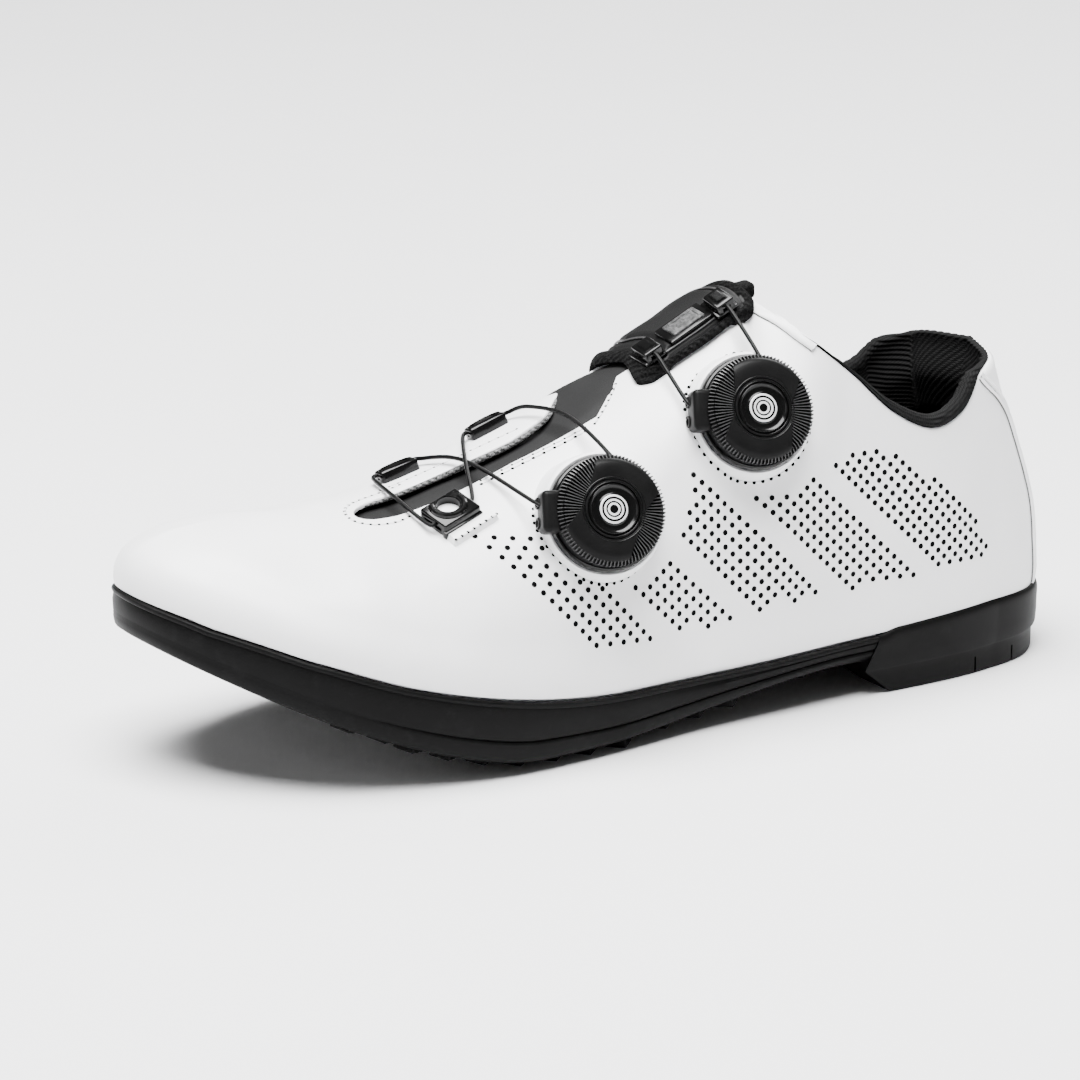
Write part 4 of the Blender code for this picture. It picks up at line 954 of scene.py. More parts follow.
# Middle rib, middle length below the ridge in millimetres, half widths in ribs and millimetres, height in
# millimetres: troughs are negative
SWELLS = (
    (12.9, 34, 0.55, 16, -0.5),
    (12.35, 44, 0.40, 20, 0.5),
    (11.7, 58, 0.35, 14, -0.45),
    (9.2, 34, 0.5, 22, 0.55),
    (9.3, 66, 0.5, 18, -0.5),
    (7.1, 22, 0.6, 16, -0.5),
    (6.6, 60, 0.5, 16, 0.4),
    (5.2, 26, 0.8, 18, -0.5),
    (3.2, 22, 0.9, 14, 0.5),
    (2.2, 44, 0.6, 18, -0.3),
)


# The seam of the heel's outer panel: its rib at lengths below the topline in millimetres
BACKSTAY_DOWN = (0, 2.5, 10, 19, 28.6, 38, 46, 56, 65, 74)
BACKSTAY_RIB = (1.80, 1.68, 1.27, 1.01, 1.04, 1.11, 1.15, 1.25, 1.29, 1.31)


def backstay_rib(down):
    return float(np.interp(down / MM, BACKSTAY_DOWN, BACKSTAY_RIB))


def relief(place, down):
    """How far the leather swells out at a place, in metres."""
    swell = sum(h * hump(r, hr, place) * hump(d, hd, down / MM) for r, d, hr, hd, h in SWELLS)
    panel = 0.4 * smooth_step(0.04, -0.03, place - backstay_rib(down)) if place < 2 else 0.0
    return (swell + panel) * MM


# %% Skin of the upper
EDGE_ROLL = ((0.0, -1.1), (0.03, -0.55), (0.22, -0.2), (0.55, -0.04), (1.0, 0.0))
UPPER_ROWS = 56


def welted(place):
    """How far the leather is rolled out over the sole's edge, most at the toe, in millimetres."""
    return float(np.interp(place, (0, 0.4, 1.5, 6, 10, 15), (0.0, 0.3, 1.2, 1.6, 1.9, 2.1)))


def upper_column(side, place):
    """One column from the skirt in the cup to the rolled top edge."""
    length, top = rib_length(side, place), throat_cut(side, place)
    sweep = rib_row(place).sweep
    edge = outline(side, sweep, SIDEWALL + GAP, edge_height(sweep) - 1.2 * MM)
    column = [outline(side, sweep, SIDEWALL + GAP, floor_height(sweep) + GAP), edge]
    open_edge = place <= THROAT_RIB
    first = top + (1.0 * MM if open_edge else 0)
    for k in range(UPPER_ROWS + 1):
        down = first + (length - first) * (1 - (k / UPPER_ROWS) ** 1.3)
        above = (length - down) / MM
        welt = welted(place) * MM * smooth_step(0.0, 0.9, above) * (1 - smooth_step(1.5, 17, above))
        column.append(surface(side, place, down, relief(place, down) * smooth_step(0, 8, above) + welt))
    for beyond, lift in reversed(EDGE_ROLL[:-1]):
        at = top + beyond * MM if open_edge else top
        column.append(surface(side, place, at, lift * MM if open_edge else 0.0))
    return column


halves = []
for side in (1, -1):
    columns = [upper_column(side, place) for place in UPPER_PLACES]
    halves.append(laid_grid(f"upper_half_{'outer' if side > 0 else 'inner'}", columns, LEATHER))
upper = joined("upper_leather", halves)
weld(upper, 0.02 * MM)
face_off(upper, (0, 0, 0.05))
print("skin:", len(upper.data.polygons), "faces")

# %% [markdown]
# Seams, holes and stitches are laid on this skin. A search tree of its faces answers two questions: what is
# the nearest point of the leather, and where does a straight line from the side meet it.

# %% Finding the leather
data = bmesh.new()
data.from_mesh(upper.data)
SKIN = BVHTree.FromBMesh(data)
data.free()


def on_skin(point, lift=0.0):
    """The nearest point of the leather, lifted, and its normal."""
    found, normal, _, _ = SKIN.find_nearest(Vector(point))
    return found + normal * lift, normal


def skin_route(stops, step):
    """A route over the leather through places given by rib and reach in millimetres, outer side positive."""
    line = smooth_line([over_instep(rib, reach * MM) for rib, reach in stops], step)
    return [on_skin(point) for point in line]


upper.data.materials.append(CUT_EDGE)
upper.data.materials.append(MESH_LINING)
thickened(upper, WALL, rim=1, inside=2)
smooth(upper, 50)
print("upper:", len(upper.data.polygons), "faces with its wall")

# %% [markdown]
# Punched holes breathe in five slanted bands. Each hole is the same small shape, a dark dish inside a
# pale lip that the punch pressed up, stamped wherever a straight line from the outer side meets the
# leather. Each band is listed: where it starts, its two steps, and which holes each row has.
# The dark dish is painted shade: a near-black disc where the hole's depth would lie in shadow.

# %% Perforations
HOLE_SIDES = 10
BANDS = (
    ((45.7, 71.0), (-2.19, -2.37), (2.51, -1.95), ((10, 17), (3, 16), (2, 15), (1, 14), (0, 13))),
    ((2.7, 52.5), (-2.50, -2.35), (2.51, -1.69), ((1, 9), (1, 8), (1, 8), (1, 6), (0, 6))),
    ((-11.1, 72.5), (-2.24, -2.26), (2.52, -1.71), ((0, 17), (1, 16), (2, 16), (2, 14), (3, 14), (3, 14))),
    ((-42.3, 72.9), (-2.27, -2.17), (2.37, -1.87), ((3, 18), (3, 17), (3, 16), (2, 15), (1, 14), (0, 14))),
    ((-69.3, 81.3), (-2.16, -2.09), (1.97, -2.03),
     ((10, 17), (5, 20), (3, 20), (2, 19), (1, 18), (1, 17), (0, 16))),
)
LIP_INSIDE = 0.86 * MM
DIAL_CLEARANCE = 19.2 * MM
clear_selection()
bpy.ops.mesh.primitive_circle_add(vertices=HOLE_SIDES, radius=1.0 * MM, fill_type="NGON")
hole = bpy.context.object
hole.data.materials.append(LEATHER)
bpy.ops.object.mode_set(mode="EDIT")
for thickness, height in ((0.15, 0.10), (0.08, -0.03), (0.3, -0.02)):
    bpy.ops.mesh.inset(thickness=thickness * MM, depth=0)
    bpy.ops.transform.translate(value=(0, 0, height * MM))
leave_edit()
reaches = [corner.co.to_2d().length for corner in hole.data.vertices]
# The dish's inner faces take the painted hole shade.
second_look(hole, HOLE_SHADE, lambda face: max(reaches[k] for k in face.vertices) < LIP_INSIDE)
dial_middles = [surface(1, dial.rib, dial.reach * BALL_WIDTH) for dial in DIALS]
hole_places = []
for (x0, z0), a, b, rows in BANDS:
    for j, row in enumerate(rows):
        for i in range(row[0], row[1] + 1) if row else ():
            spot = Vector((x0 + i * a[0] + j * b[0], 0, z0 + i * a[1] + j * b[1])) * MM
            found, normal, _, _ = SKIN.ray_cast(spot + Vector((0, 0.2, 0)), Vector((0, -1, 0)))
            if found and all((found - middle).length > DIAL_CLEARANCE for middle in dial_middles):
                hole_places.append(placed(found + normal * 0.01 * MM, (1, 0, 0), normal))
perforations = stamped("perforations", hole, hole_places, 60)
print("holes:", len(hole_places))

# %% [markdown]
# A stitch is a short thread that dips into a pinhole at each end. One thread and one pinhole are
# modelled, and stamped along routes that keep a sewer's distance from the edges.
# Each pinhole is a flat near-black disc: painted shade where the thread's hole lies in shadow.

# %% Stitches


def along_skin(line, lift=0.0):
    """A place for each point of a route over the leather, its X along the route."""
    found = []
    for k, (point, normal) in enumerate(line):
        ahead = line[min(k + 1, len(line) - 1)][0] - line[max(k - 1, 0)][0]
        found.append(placed(point + normal * lift, ahead, normal))
    return found


def sewn(name, line, length=2.2, width=0.55, hole=0.36):
    """A row of stitches with a pinhole between them, along a route whose step is the pitch."""
    places = along_skin(line)
    clear_selection()
    bpy.ops.mesh.primitive_uv_sphere_add(segments=8, ring_count=6, radius=1)
    thread = bpy.context.object
    thread.data.transform(Matrix.Diagonal((length / 2 * MM, width / 2 * MM, 0.22 * MM, 1)))
    thread.data.materials.append(WHITE_THREAD)
    halfway = []
    for near, far in zip(places, places[1:]):
        halfway.append(Matrix.Translation((far.translation - near.translation) / 2) @ near)
    proud = Matrix.Translation((0, 0, 0.08 * MM))
    sewing = stamped(name + "_threads", thread, [place @ proud for place in halfway], 60)
    clear_selection()
    bpy.ops.mesh.primitive_circle_add(vertices=8, radius=hole * MM, fill_type="NGON")
    pin = bpy.context.object
    # The pinhole disc is painted shade.
    pin.data.materials.append(HOLE_SHADE)
    proud = Matrix.Translation((0, 0, 0.05 * MM))
    pins = stamped(name + "_pins", pin, [place @ proud for place in places], 60)
    return joined(name, [sewing, pins])


def side_route(stops, step, side=1):
    """A route below the topline through ribs and lengths in millimetres."""
    return [on_skin(point) for point in smooth_line([surface(side, rib, d * MM) for rib, d in stops], step)]


# Route over the leather or below the topline, pitch, and the stitch's length, width and hole in millimetres
SEAMS = {
    "stitches_throat_front": (skin_route,
                              ((11.95, -1.5), (12.15, -0.6), (12.35, 0.4), (12.52, 3.2), (12.56, 8.3),
                                           (12.46, 14.6), (12.30, 18.4), (12.12, 20.2), (11.98, 20.4),
                                           (11.9, 19.6)), 2.3, (1.7, 1.0, 0.5)),
    "stitches_throat_side": (skin_route, ((11.28, 18.3), (10.9, 18.0), (10.6, 18.6), (10.42, 18.7)),
                             3.4, (2.2, 0.7, 0.55)),
    "stitches_throat_edge": (skin_route, ((11.28, 16.6), (10.9, 16.3), (10.6, 16.9), (10.42, 17.0)),
                             3.4, (2.6, 0.7, 0.4)),
    "stitches_corner": (skin_route, ((10.34, 17.8), (10.25, 14.0), (10.16, 9.4), (10.10, 6.0)),
                        2.6, (2.0, 0.8, 0.45)),
    "stitches_topline": (side_route, ((7.74, 8.6), (7.48, 6.0), (7.21, 3.6), (6.92, 3.0)), 2.0,
                         (1.5, 0.8, 0.5)),
    "stitches_inner_side": (skin_route, ((12.1, -3.0), (11.7, -3.6), (11.3, -2.6), (10.9, -0.6)),
                            3.0, (2.0, 0.7, 0.4)),
}
stitch_rows = [sewn(name, route(stops, pitch * MM), *sizes) for name,
               (route, stops, pitch, sizes) in SEAMS.items()]
print("stitch rows:", len(stitch_rows))

# %% [markdown]
# The heel's outer panel is folded under along its edge and sewn twice, which leaves a raised double cord.
# The edge behind the strap has a narrow turned band. Both are strips laid across the leather: a grid
# whose rows follow the seam and whose columns give the section, pressed back on the skin before it is
# lifted.
# Their feet and low grooves are painted a dark grey: painted shade along the seam.

# %% Cords and bands on the leather


def laid_strip(name, line, section, look):
    """A strip along a route over the leather, with a section of offsets and lifts in millimetres."""
    rows = []
    for place in along_skin(line):
        row = []
        for aside, lift in section:
            point, normal = on_skin(place @ Vector((0, aside * MM, 0)))
            row.append(point + normal * lift * MM)
        rows.append(row)
    made = laid_grid(name, rows, look)
    last = len(section) - 2
    heights = [max(section[k][1], section[k + 1][1]) for k in range(last + 1)]
    # Edge columns and low grooves take the seam shade: painted shade along the seam's foot and grooves.
    shaded_columns = [k for k in range(last + 1) if k in (0, last) or heights[k] < 0.2]
    second_look(made, SEAM_SHADE, lambda face: min(face.vertices) % len(section) in shaded_columns)
    face_off(made, (0, 0, 0.03))
    return smooth(made, 50)


DOUBLE_CORD = ((-2.1, -0.15), (-1.8, 0.4), (-1.3, 0.95), (-0.85, 0.75), (-0.6, 0.15), (-0.3, 0.12),
               (-0.1, 0.6),
               (0.35, 0.9), (0.8, 0.6), (1.05, 0.05), (1.35, -0.15))
FLAT_BAND = ((-1.6, -0.15), (-1.4, 0.5), (-1.1, 0.8), (-0.4, 0.85), (0.4, 0.8), (1.0, 0.75), (1.3, 0.5),
             (1.5, -0.15))
seam_stops = [(rib, down + 0.3) for rib, down in zip(BACKSTAY_RIB, BACKSTAY_DOWN)]
strips = []
for side, word in ((1, "outer"), (-1, "inner")):
    route = side_route(seam_stops, 1.2 * MM, side)
    section = DOUBLE_CORD if side > 0 else tuple((-a, lift) for a, lift in reversed(DOUBLE_CORD))
    strips.append(laid_strip(f"backstay_cord_{word}", route, section, LEATHER))
band_route = side_route([(7.86, 8.2), (7.48, 4.0), (7.21, 1.9), (6.84, 1.6)], 1.0 * MM)
strips.append(laid_strip("topline_band", band_route, FLAT_BAND, LEATHER))
print("strips:", [strip.name for strip in strips])

# %% [markdown]
# The throat's inner edge is left raw: the felt backing of the leather shows as a black and grey twist. It
# is a tube pressed against the cut wall.

# %% Raw edge of the throat
raw_stops = [(12.40, 15.0), (12.47, 10.0), (12.46, 6.0), (12.34, 4.6), (12.1, 3.7), (11.7, 2.9), (11.4, 3.4),
             (11.0, 4.7), (10.7, 1.8), (10.5, -5.0), (10.36, -10.6)]
raw_line = smooth_line([over_instep(rib, reach * MM, -1.0 * MM) for rib, reach in raw_stops], 0.8 * MM)
raw_edge = tube("throat_raw_edge", raw_line, lambda t: (0.45 + 0.45 * hump(0.55, 0.5, t)) * MM, CUT_EDGE, 10)

# %% [markdown]
# The tongue shows between the throat's edges as a soft pad. A grid of its top face follows the same ribs, a
# wall and a gap further in; it gets a thickness and soft edges, and its rear end climbs free.

# %% Tongue
TONGUE_HALF = 29
tongue_rows = []
for k in range(57):
    place = RIDGE_RIB + 5 * (k / 56) ** 1.2
    wide = smooth_step(RIDGE_RIB - 0.4, RIDGE_RIB + 1.4, place)
    narrow = (1 - 0.05 * (place - RIDGE_RIB)) * (0.3 + 0.7 * wide)
    middle = -0.05 * BALL_WIDTH * (1 - wide)
    under = -(WALL + 0.7 * MM * (4.0 - 3.0 * wide))
    row = []
    for n in range(37):
        share = n / 18 - 1
        crown = 0.15 * MM * math.sin(9 * place) * (1 - share * share)
        reach = middle / MM + share * TONGUE_HALF * narrow
        crown -= 2.9 * MM * hump(10.1, 0.75, place) * smooth_step(26, 14, abs(reach + 5))
        row.append(across(place, middle + share * TONGUE_HALF * MM * narrow, under - crown * wide))
    tongue_rows.append(row)
climb = []
for step in (1.0, 0.66, 0.33):
    row = []
    for n, (first, third) in enumerate(zip(tongue_rows[0], tongue_rows[2])):
        row.append(first + (first - third).normalized() * 7 * MM * step * (1 - 0.35 * (n / 18 - 1) ** 2))
    climb.append(row)
tongue = laid_grid("tongue_padded", climb + tongue_rows, TONGUE_CLOTH)
face_off(tongue, (0, 0, 0.02))
thickened(tongue, 3.0 * MM)
soften = tongue.modifiers.new("soft_edge", "BEVEL")
soften.width, soften.segments, soften.limit_method = 0.9 * MM, 3, "ANGLE"
apply_all(tongue)
smooth(tongue, 60)
print("tongue:", len(tongue.data.polygons), "faces")

# %% [markdown]
# ## Collar
# The collar is a padded ribbed knit, rolled over the leather's edge. The ribs are real here: the grid has
# about five rows to each of them. They run level round the ankle and slant behind the heel, where the pad
# is pieced.

# %% Collar lining
RIB_STEP = 1.3
SLANT_TO = 1.1
SKIN_GAP = -(WALL / MM + 1.1)


def roll_height(place):
    return 0.3 + 3.6 * smooth_step(7.1, 4.4, place) - 3.3 * smooth_step(2.6, 1.2, place)


def knit_profile(place):
    """Lift and length below the topline in millimetres, from the outer foot over the roll to the inner."""
    high = roll_height(place)
    out = 0.55 - 1.6 * smooth_step(2.4, 1.4, place)
    roll = SKIN_GAP + 0.4 - 1.8 * smooth_step(7.4, 5.2, place) * smooth_step(1.2, 2.6, place)
    deep = SKIN_GAP - 1.5 - 2.7 * smooth_step(7.4, 5.2, place)
    points = [(SKIN_GAP, 34.0), (SKIN_GAP, 17.0), (SKIN_GAP, 2.0), (SKIN_GAP + 0.6, -0.2)]
    points.append((min(-0.9, out - 0.3), -0.25))
    for n in range(25):
        turn = math.pi * n / 24
        lift = (out + roll) / 2 + (out - roll) / 2 * math.cos(turn)
        points.append((lift, -0.3 - (high - 0.3) * math.sin(turn) ** 0.8))
    for n in range(1, 109):
        down = -0.3 + n * 0.25
        inward = roll + (deep - roll) * smooth_step(0, 12, down)
        points.append((inward + (SKIN_GAP - 0.6 - inward) * smooth_step(20, 26.5, down), down))
    return points


ring_places = [k * 0.032 for k in range(81)] + [2.6 + k * 0.11 for k in range(44)] + [7.4]
ring_places = sorted(place for place in ring_places if place <= 7.4)
stops = [(-1, place) for place in reversed(ring_places)] + [(1, place) for place in ring_places[1:]]
rings = []
for side, place in stops:
    top_point, below = on_rib(side, place, 0), on_rib(side, place, 2 * MM)
    climb_way = (top_point - below).normalized()
    ring = []
    walked, before = 0.0, None
    for n, (lift, down) in enumerate(knit_profile(place)):
        knit = 0.0
        walked += math.dist((lift, down), before) if before and n > 4 else 0.0
        before = (lift, down)
        if n > 4:
            pieced = SLANT_TO + 0.012 * max(0.0, down)
            height = surface(side, place, max(down, 0.0) * MM).z / MM + max(0.0, -down)
            phase = (0.66 * walked + place * 13.5 * 0.75 * side) if place < pieced else height
            knit = 0.28 * math.cos(2 * math.pi * phase / RIB_STEP) * smooth_step(4, 8, n)
            knit -= 1.0 * hump(pieced, 0.09, place) * smooth_step(12, 20, n)
        point = surface(side, place, max(down, 0.0) * MM, (lift + knit) * MM)
        ring.append(point + climb_way * max(0.0, -down) * MM)
    rings.append(ring)
collar = laid_grid("collar_knit", rings, KNIT, ring=True)
weld(collar)
capped(collar)
smooth(collar, 70)
print("collar:", len(collar.data.polygons), "faces")

# %% [markdown]
# The footbed lies on the cup's floor, a fabric-covered foam that is a little dished and rounded at its
# edge.

# %% Footbed
foot_rows = []
for k in range(61):
    sweep = k / 60
    inset = SIDEWALL + GAP + WALL + 1.2 * MM
    low = floor_height(sweep) + GAP
    left, right = outline(1, sweep, inset, low), outline(-1, sweep, inset, low)
    row = [left]
    for n in range(21):
        share = n / 20
        rise = 3 * MM * (1 - abs(2 * share - 1) ** 14) - 0.6 * MM * math.sin(math.pi * share)
        row.append(left.lerp(right, 0.004 + 0.992 * share) + Vector((0, 0, max(0.4 * MM, rise))))
    foot_rows.append(row + [right])
footbed = laid_grid("footbed", foot_rows, FOOTBED)
weld(footbed)
face_off(footbed, (0, 0, -0.3))
smooth(footbed, 60)

# %% [markdown]
# ## Sole
# The cup sole is one loop of section, from the underside up over the bead and down to the floor inside,
# carried round the outline from the seam at the heel to the toe. Reading its height from the same
# stations as the solid keeps it under the leather. The bead at the top and the groove in the side are
# part of the section.

# %% Sections of the sole


def wall_section(side, sweep):
    """Insets and heights in metres from the underside's edge up and over into the cup."""
    base, top = base_height(outline(side, sweep, EDGE_BAND).x), edge_height(sweep)
    groove = station(share_of(sweep)).groove * 0.7
    low = base + 2.2 * MM
    middle = low + 0.30 * (top - low)
    under = ((9.0, 0.0), (7.0, 0.05), (5.9, 0.1), (5.5, -0.25), (5.1, -0.25), (4.7, 0.15), (3.4, 0.3),
             (2.2, 0.6), (1.4, 1.0), (0.8, 1.5), (0.4, 2.2))
    points = [(inset * MM, base + rise * MM) for inset, rise in under]
    points.append((0.15 * MM, low + 0.5 * (middle - 0.9 * MM - low)))
    side_groove = ((0.0, -0.9), (0.1, -0.45), (groove, 0.0), (0.1, 0.45), (0.0, 0.9))
    points += [(inset * MM, middle + rise * MM) for inset, rise in side_groove]
    points.append((-0.1 * MM, (middle + top) / 2))
    bead = ((0.1, -2.5), (0.3, -1.7), (-0.15, -1.3), (-0.3, -0.8), (-0.1, -0.25), (0.4, 0.0), (1.2, 0.1),
            (SIDEWALL / MM, -0.3))
    points += [(inset * MM, top + rise * MM) for inset, rise in bead]
    return points + [(SIDEWALL, floor_height(sweep))]


def seam_x(height):
    """Where the sole ends and the heel begins: upright, then forward, then back under the block."""
    knee = 0.35 * TOE_EDGE_HEIGHT
    if height >= knee:
        return SEAM_X
    if height >= HEEL_BLOCK_HEIGHT:
        return SEAM_X + 5 * MM * (knee - height) / (knee - HEEL_BLOCK_HEIGHT)
    return SEAM_X + 5 * MM - 10 * MM * (1 - height / HEEL_BLOCK_HEIGHT)


def carried(section, sweep_of, across_count, low_face):
    """Loops of a section on both sides, joined over the floor and the underside, from end to end."""
    loops = []
    for share in [k / 150 for k in range(151)]:
        loop = []
        for side in (1, -1):
            walls = []
            for k, (inset, height) in enumerate(section(side,
                                                        sweep_of(side, share, inset=2 * MM, height=None))):
                sweep = sweep_of(side, share, inset, height)
                inset, height = section(side, sweep)[k]
                walls.append(outline(side, sweep, inset, height))
            loop.append(walls)
        outer, inner = loop
        floor_line = [outer[-1].lerp(inner[-1], n / 4) for n in (1, 2, 3)]
        ground = [inner[0].lerp(outer[0], n / across_count) for n in range(1, across_count)]
        ground = [Vector((p.x, p.y, low_face(p))) for p in ground]
        loops.append(outer + floor_line + inner[::-1] + ground)
    return loops


def sole_sweep(side, share, inset, height):
    start = sweep_at(seam_x(height if height is not None else 0.016), inset)
    return start + (1 - start) * share


sole_loops = carried(wall_section, sole_sweep, 14, lambda p: base_height(p.x))
sole = laid_grid("sole_rubber", sole_loops, RUBBER, ring=True)
weld(sole, 0.01 * MM)
capped(sole)
smooth(sole, 40)
print("sole:", len(sole.data.polygons), "faces")

# %% [markdown]
# The heel is a cup of its own with a raised U-shaped block under it, cut by thin grooves. Its top edge
# stands a little higher than the sole's and rises to a small tab at the very back.

# %% Heel
BLOCK = 22.4


def heel_section(side, sweep):
    x = outline(side, sweep, 0).x
    step_up = 1.3 * MM * smooth_step(SEAM_X, SEAM_X - 8 * MM, x)
    tab_rise = 4.0 * MM * smooth_step(9 * MM, 5.5 * MM, abs(outline(side, sweep, 0).y)) * (x < -0.1)
    top = edge_height(sweep) + step_up + tab_rise
    foot = ((BLOCK + 0.8, 5.0), (BLOCK, 0.6), (BLOCK - 0.6, 0.0), (19.0, 0.0), (18.6, 0.7), (18.0, 0.7),
            (17.6, 0.0), (11.6, 0.0), (11.3, 0.5), (10.9, 0.5), (10.6, 0.0), (5.4, 0.0), (5.0, 0.7),
            (4.4, 0.7),
            (4.0, 0.0), (2.4, 0.0), (1.7, 0.3), (1.4, 0.9), (1.4, 3.0), (1.35, 5.5), (1.3, 7.2), (1.1, 7.6),
            (0.35, 7.8), (0.1, 8.4))
    points = [(inset * MM, height * MM) for inset, height in foot]
    points += [(-0.15 * MM, 8 * MM + 0.3 * (top - 8 * MM)), (-0.2 * MM, 8 * MM + 0.6 * (top - 8 * MM))]
    lip = ((-0.3, -2.8), (-0.3, -2.0), (-0.2, -1.3), (0.0, -0.7), (0.3, -0.3), (0.7, 0.0), (1.3, 0.1),
           (SIDEWALL / MM, -0.3))
    points += [(inset * MM, top + rise * MM) for inset, rise in lip]
    return points + [(SIDEWALL, floor_height(sweep))]


def heel_sweep(side, share, inset, height):
    end = sweep_at(seam_x(height if height is not None else 0.016) - GAP, inset)
    return end * share


heel_loops = carried(heel_section, heel_sweep, 8, lambda p: 5 * MM)
heel = laid_grid("heel_rubber", heel_loops, RUBBER, ring=True)
weld(heel, 0.01 * MM)
capped(heel)
for x in (-107.1, -122.8):
    spot = outline(1, sweep_at(x * MM, 0), 0)
    clear_selection()
    bpy.ops.mesh.primitive_cube_add(size=1, location=(spot.x, spot.y, 2.7 * MM))
    cutter = bpy.context.object
    cutter.scale = (0.7 * MM, 6 * MM, 4.6 * MM)
    notch = heel.modifiers.new("notch", "BOOLEAN")
    notch.object, notch.solver = cutter, "EXACT"
    apply_all(heel)
    bpy.data.objects.remove(cutter, do_unlink=True)
# The heel's tread takes the knurled rubber, with painted shade in its grooves.
second_look(heel, KNURL_GROOVE_SHADE, lambda face: face.normal.z < -0.98 and face.center.z < 0.2 * MM)
smooth(heel, 40)
print("heel:", len(heel.data.polygons), "faces")

# %% [markdown]
# The tread is a diagonal lattice of square lugs with one corner cut off and a pebbled top. One lug is
# modelled and stamped, each a little into the underside, on a lattice that keeps clear of the pad, the
# channel in the middle of the waist, the toe's crescent and the smooth band along the edge.

# %% Lugs


def pad_outline(grow, count=28):
    """The pad's outline on the ground plane: a sheared rounded rectangle with bulging sides."""
    centre = (PAD_PLACE - 0.5) * SHOE_LENGTH
    spine = station(PAD_PLACE).spine * BALL_WIDTH
    points = []
    for k in range(count):
        turn = 2 * math.pi * (k + 0.5) / count
        aside = math.copysign(abs(math.cos(turn)) ** 0.42, math.cos(turn)) * (PAD_WIDTH / 2 + grow)
        along = math.copysign(abs(math.sin(turn)) ** 0.42, math.sin(turn)) * (PAD_LENGTH / 2 + grow)
        points.append(Vector((centre + along - PAD_SHEAR * aside, spine + aside, 0)))
    return points


def inside(point, corners):
    found = False
    for k in range(len(corners)):
        a, b = corners[k - 1], corners[k]
        if (a.y > point.y) != (b.y > point.y) and point.x < a.x + (b.x - a.x) * (point.y - a.y) / (b.y - a.y):
            found = not found
    return found


def all_round(outer, inner):
    """The sole's outline all the way round, moved in by its own inset on each side."""
    return [outline(1, k / 60, outer) for k in range(61)] + [outline(-1, k / 60, inner)
                                                             for k in range(59, 0, -1)]


def lug_places():
    """The middles of the lugs: a diagonal lattice inside the edge band, clear of pad, channel and heel."""
    keep_off = pad_outline(0.72 * LUG_SIZE)
    border = all_round(EDGE_BAND - 1.5 * MM, EDGE_BAND)
    clear = all_round(27 * MM, 27 * MM)
    side_step = LUG_PITCH * math.sqrt(0.5)
    places = []
    reach = math.ceil(SHOE_LENGTH / LUG_PITCH)
    for i in range(-reach, reach + 1):
        for j in range(-reach, reach + 1):
            point = Vector(((i + j) * side_step, (i - j) * side_step, 0))
            channel = abs(point.y) < 8 * MM and point.x < 0.02 * SHOE_LENGTH
            fits = SEAM_X + 14 * MM < point.x < 0.415 * SHOE_LENGTH and not channel
            fits = fits and (point.x < 103 * MM or inside(point, clear))
            if fits and inside(point, border) and not inside(point, keep_off):
                places.append(point)
    return places


lug = bevelled_block("lug_model", (LUG_SIZE / MM, LUG_SIZE / MM, 3.7), 0.35, RUBBER, 1)
edit(lug)
bpy.ops.mesh.bisect(plane_co=(1.8 * MM, 1.8 * MM, 0), plane_no=(1, 1, 0.25), use_fill=True, clear_outer=True)
leave_edit()
second_look(lug, LUG_RUBBER, lambda face: face.normal.z > 0.9)
lug_frames = []
for spot in lug_places():
    slope = (tread_height(spot.x + MM) - tread_height(spot.x - MM)) / (2 * MM)
    down = Vector((slope, 0, -1)).normalized()
    foot = Vector((spot.x, spot.y, base_height(spot.x) + 1.2 * MM))
    lug_frames.append(placed(foot, Vector((1, -1, 0)), down))
lugs = stamped("lug_lattice", lug, lug_frames, 35)
print("lugs:", len(lug_frames))

# %% [markdown]
# Under the toe the lattice ends at a crescent of fine mesh between smooth curved ridges. Its section is
# carried round the toe's outline from one side to the other, like a second little sole.

# %% Toe crescent
CRESCENT = ((7.4, -0.3), (7.8, 0.7), (8.5, 1.1), (9.6, 1.1), (10.0, 0.3), (10.6, 0.3), (11.0, 1.1),
            (12.4, 1.1), (12.8, 0.3), (13.4, 0.3), (13.8, 0.8), (17.0, 0.8), (20.6, 0.8), (21.0, 1.4),
            (22.4, 1.4), (22.8, 0.9), (23.1, -0.3))
crescent_rows = []
for k in range(61):
    turn = k / 30 - 1
    sweep, side = 1 - 0.21 * abs(turn), 1 if turn < 0 else -1
    row = []
    for inset, drop in CRESCENT:
        spot = outline(side, sweep, inset * MM)
        fade = smooth_step(1.0, 0.93, abs(turn))
        row.append(Vector((spot.x, spot.y, base_height(spot.x) - (drop + 0.25) * fade * MM)))
    crescent_rows.append(row)
crescent = laid_grid("toe_crescent", crescent_rows, RUBBER)
face_off(crescent, (0.12, 0, 0.2))
# The fine mesh takes the knurled rubber, with painted shade in its grooves.
second_look(crescent, KNURL_GROOVE_SHADE, lambda face: min(face.vertices) % len(CRESCENT) in (10, 11))
smooth(crescent, 40)
print("crescent:", len(crescent.data.polygons), "faces")

# %% [markdown]
# The pedal pad is a softer grey rubber let into the forefoot, with a thin worn rim and sixteen dished
# studs.

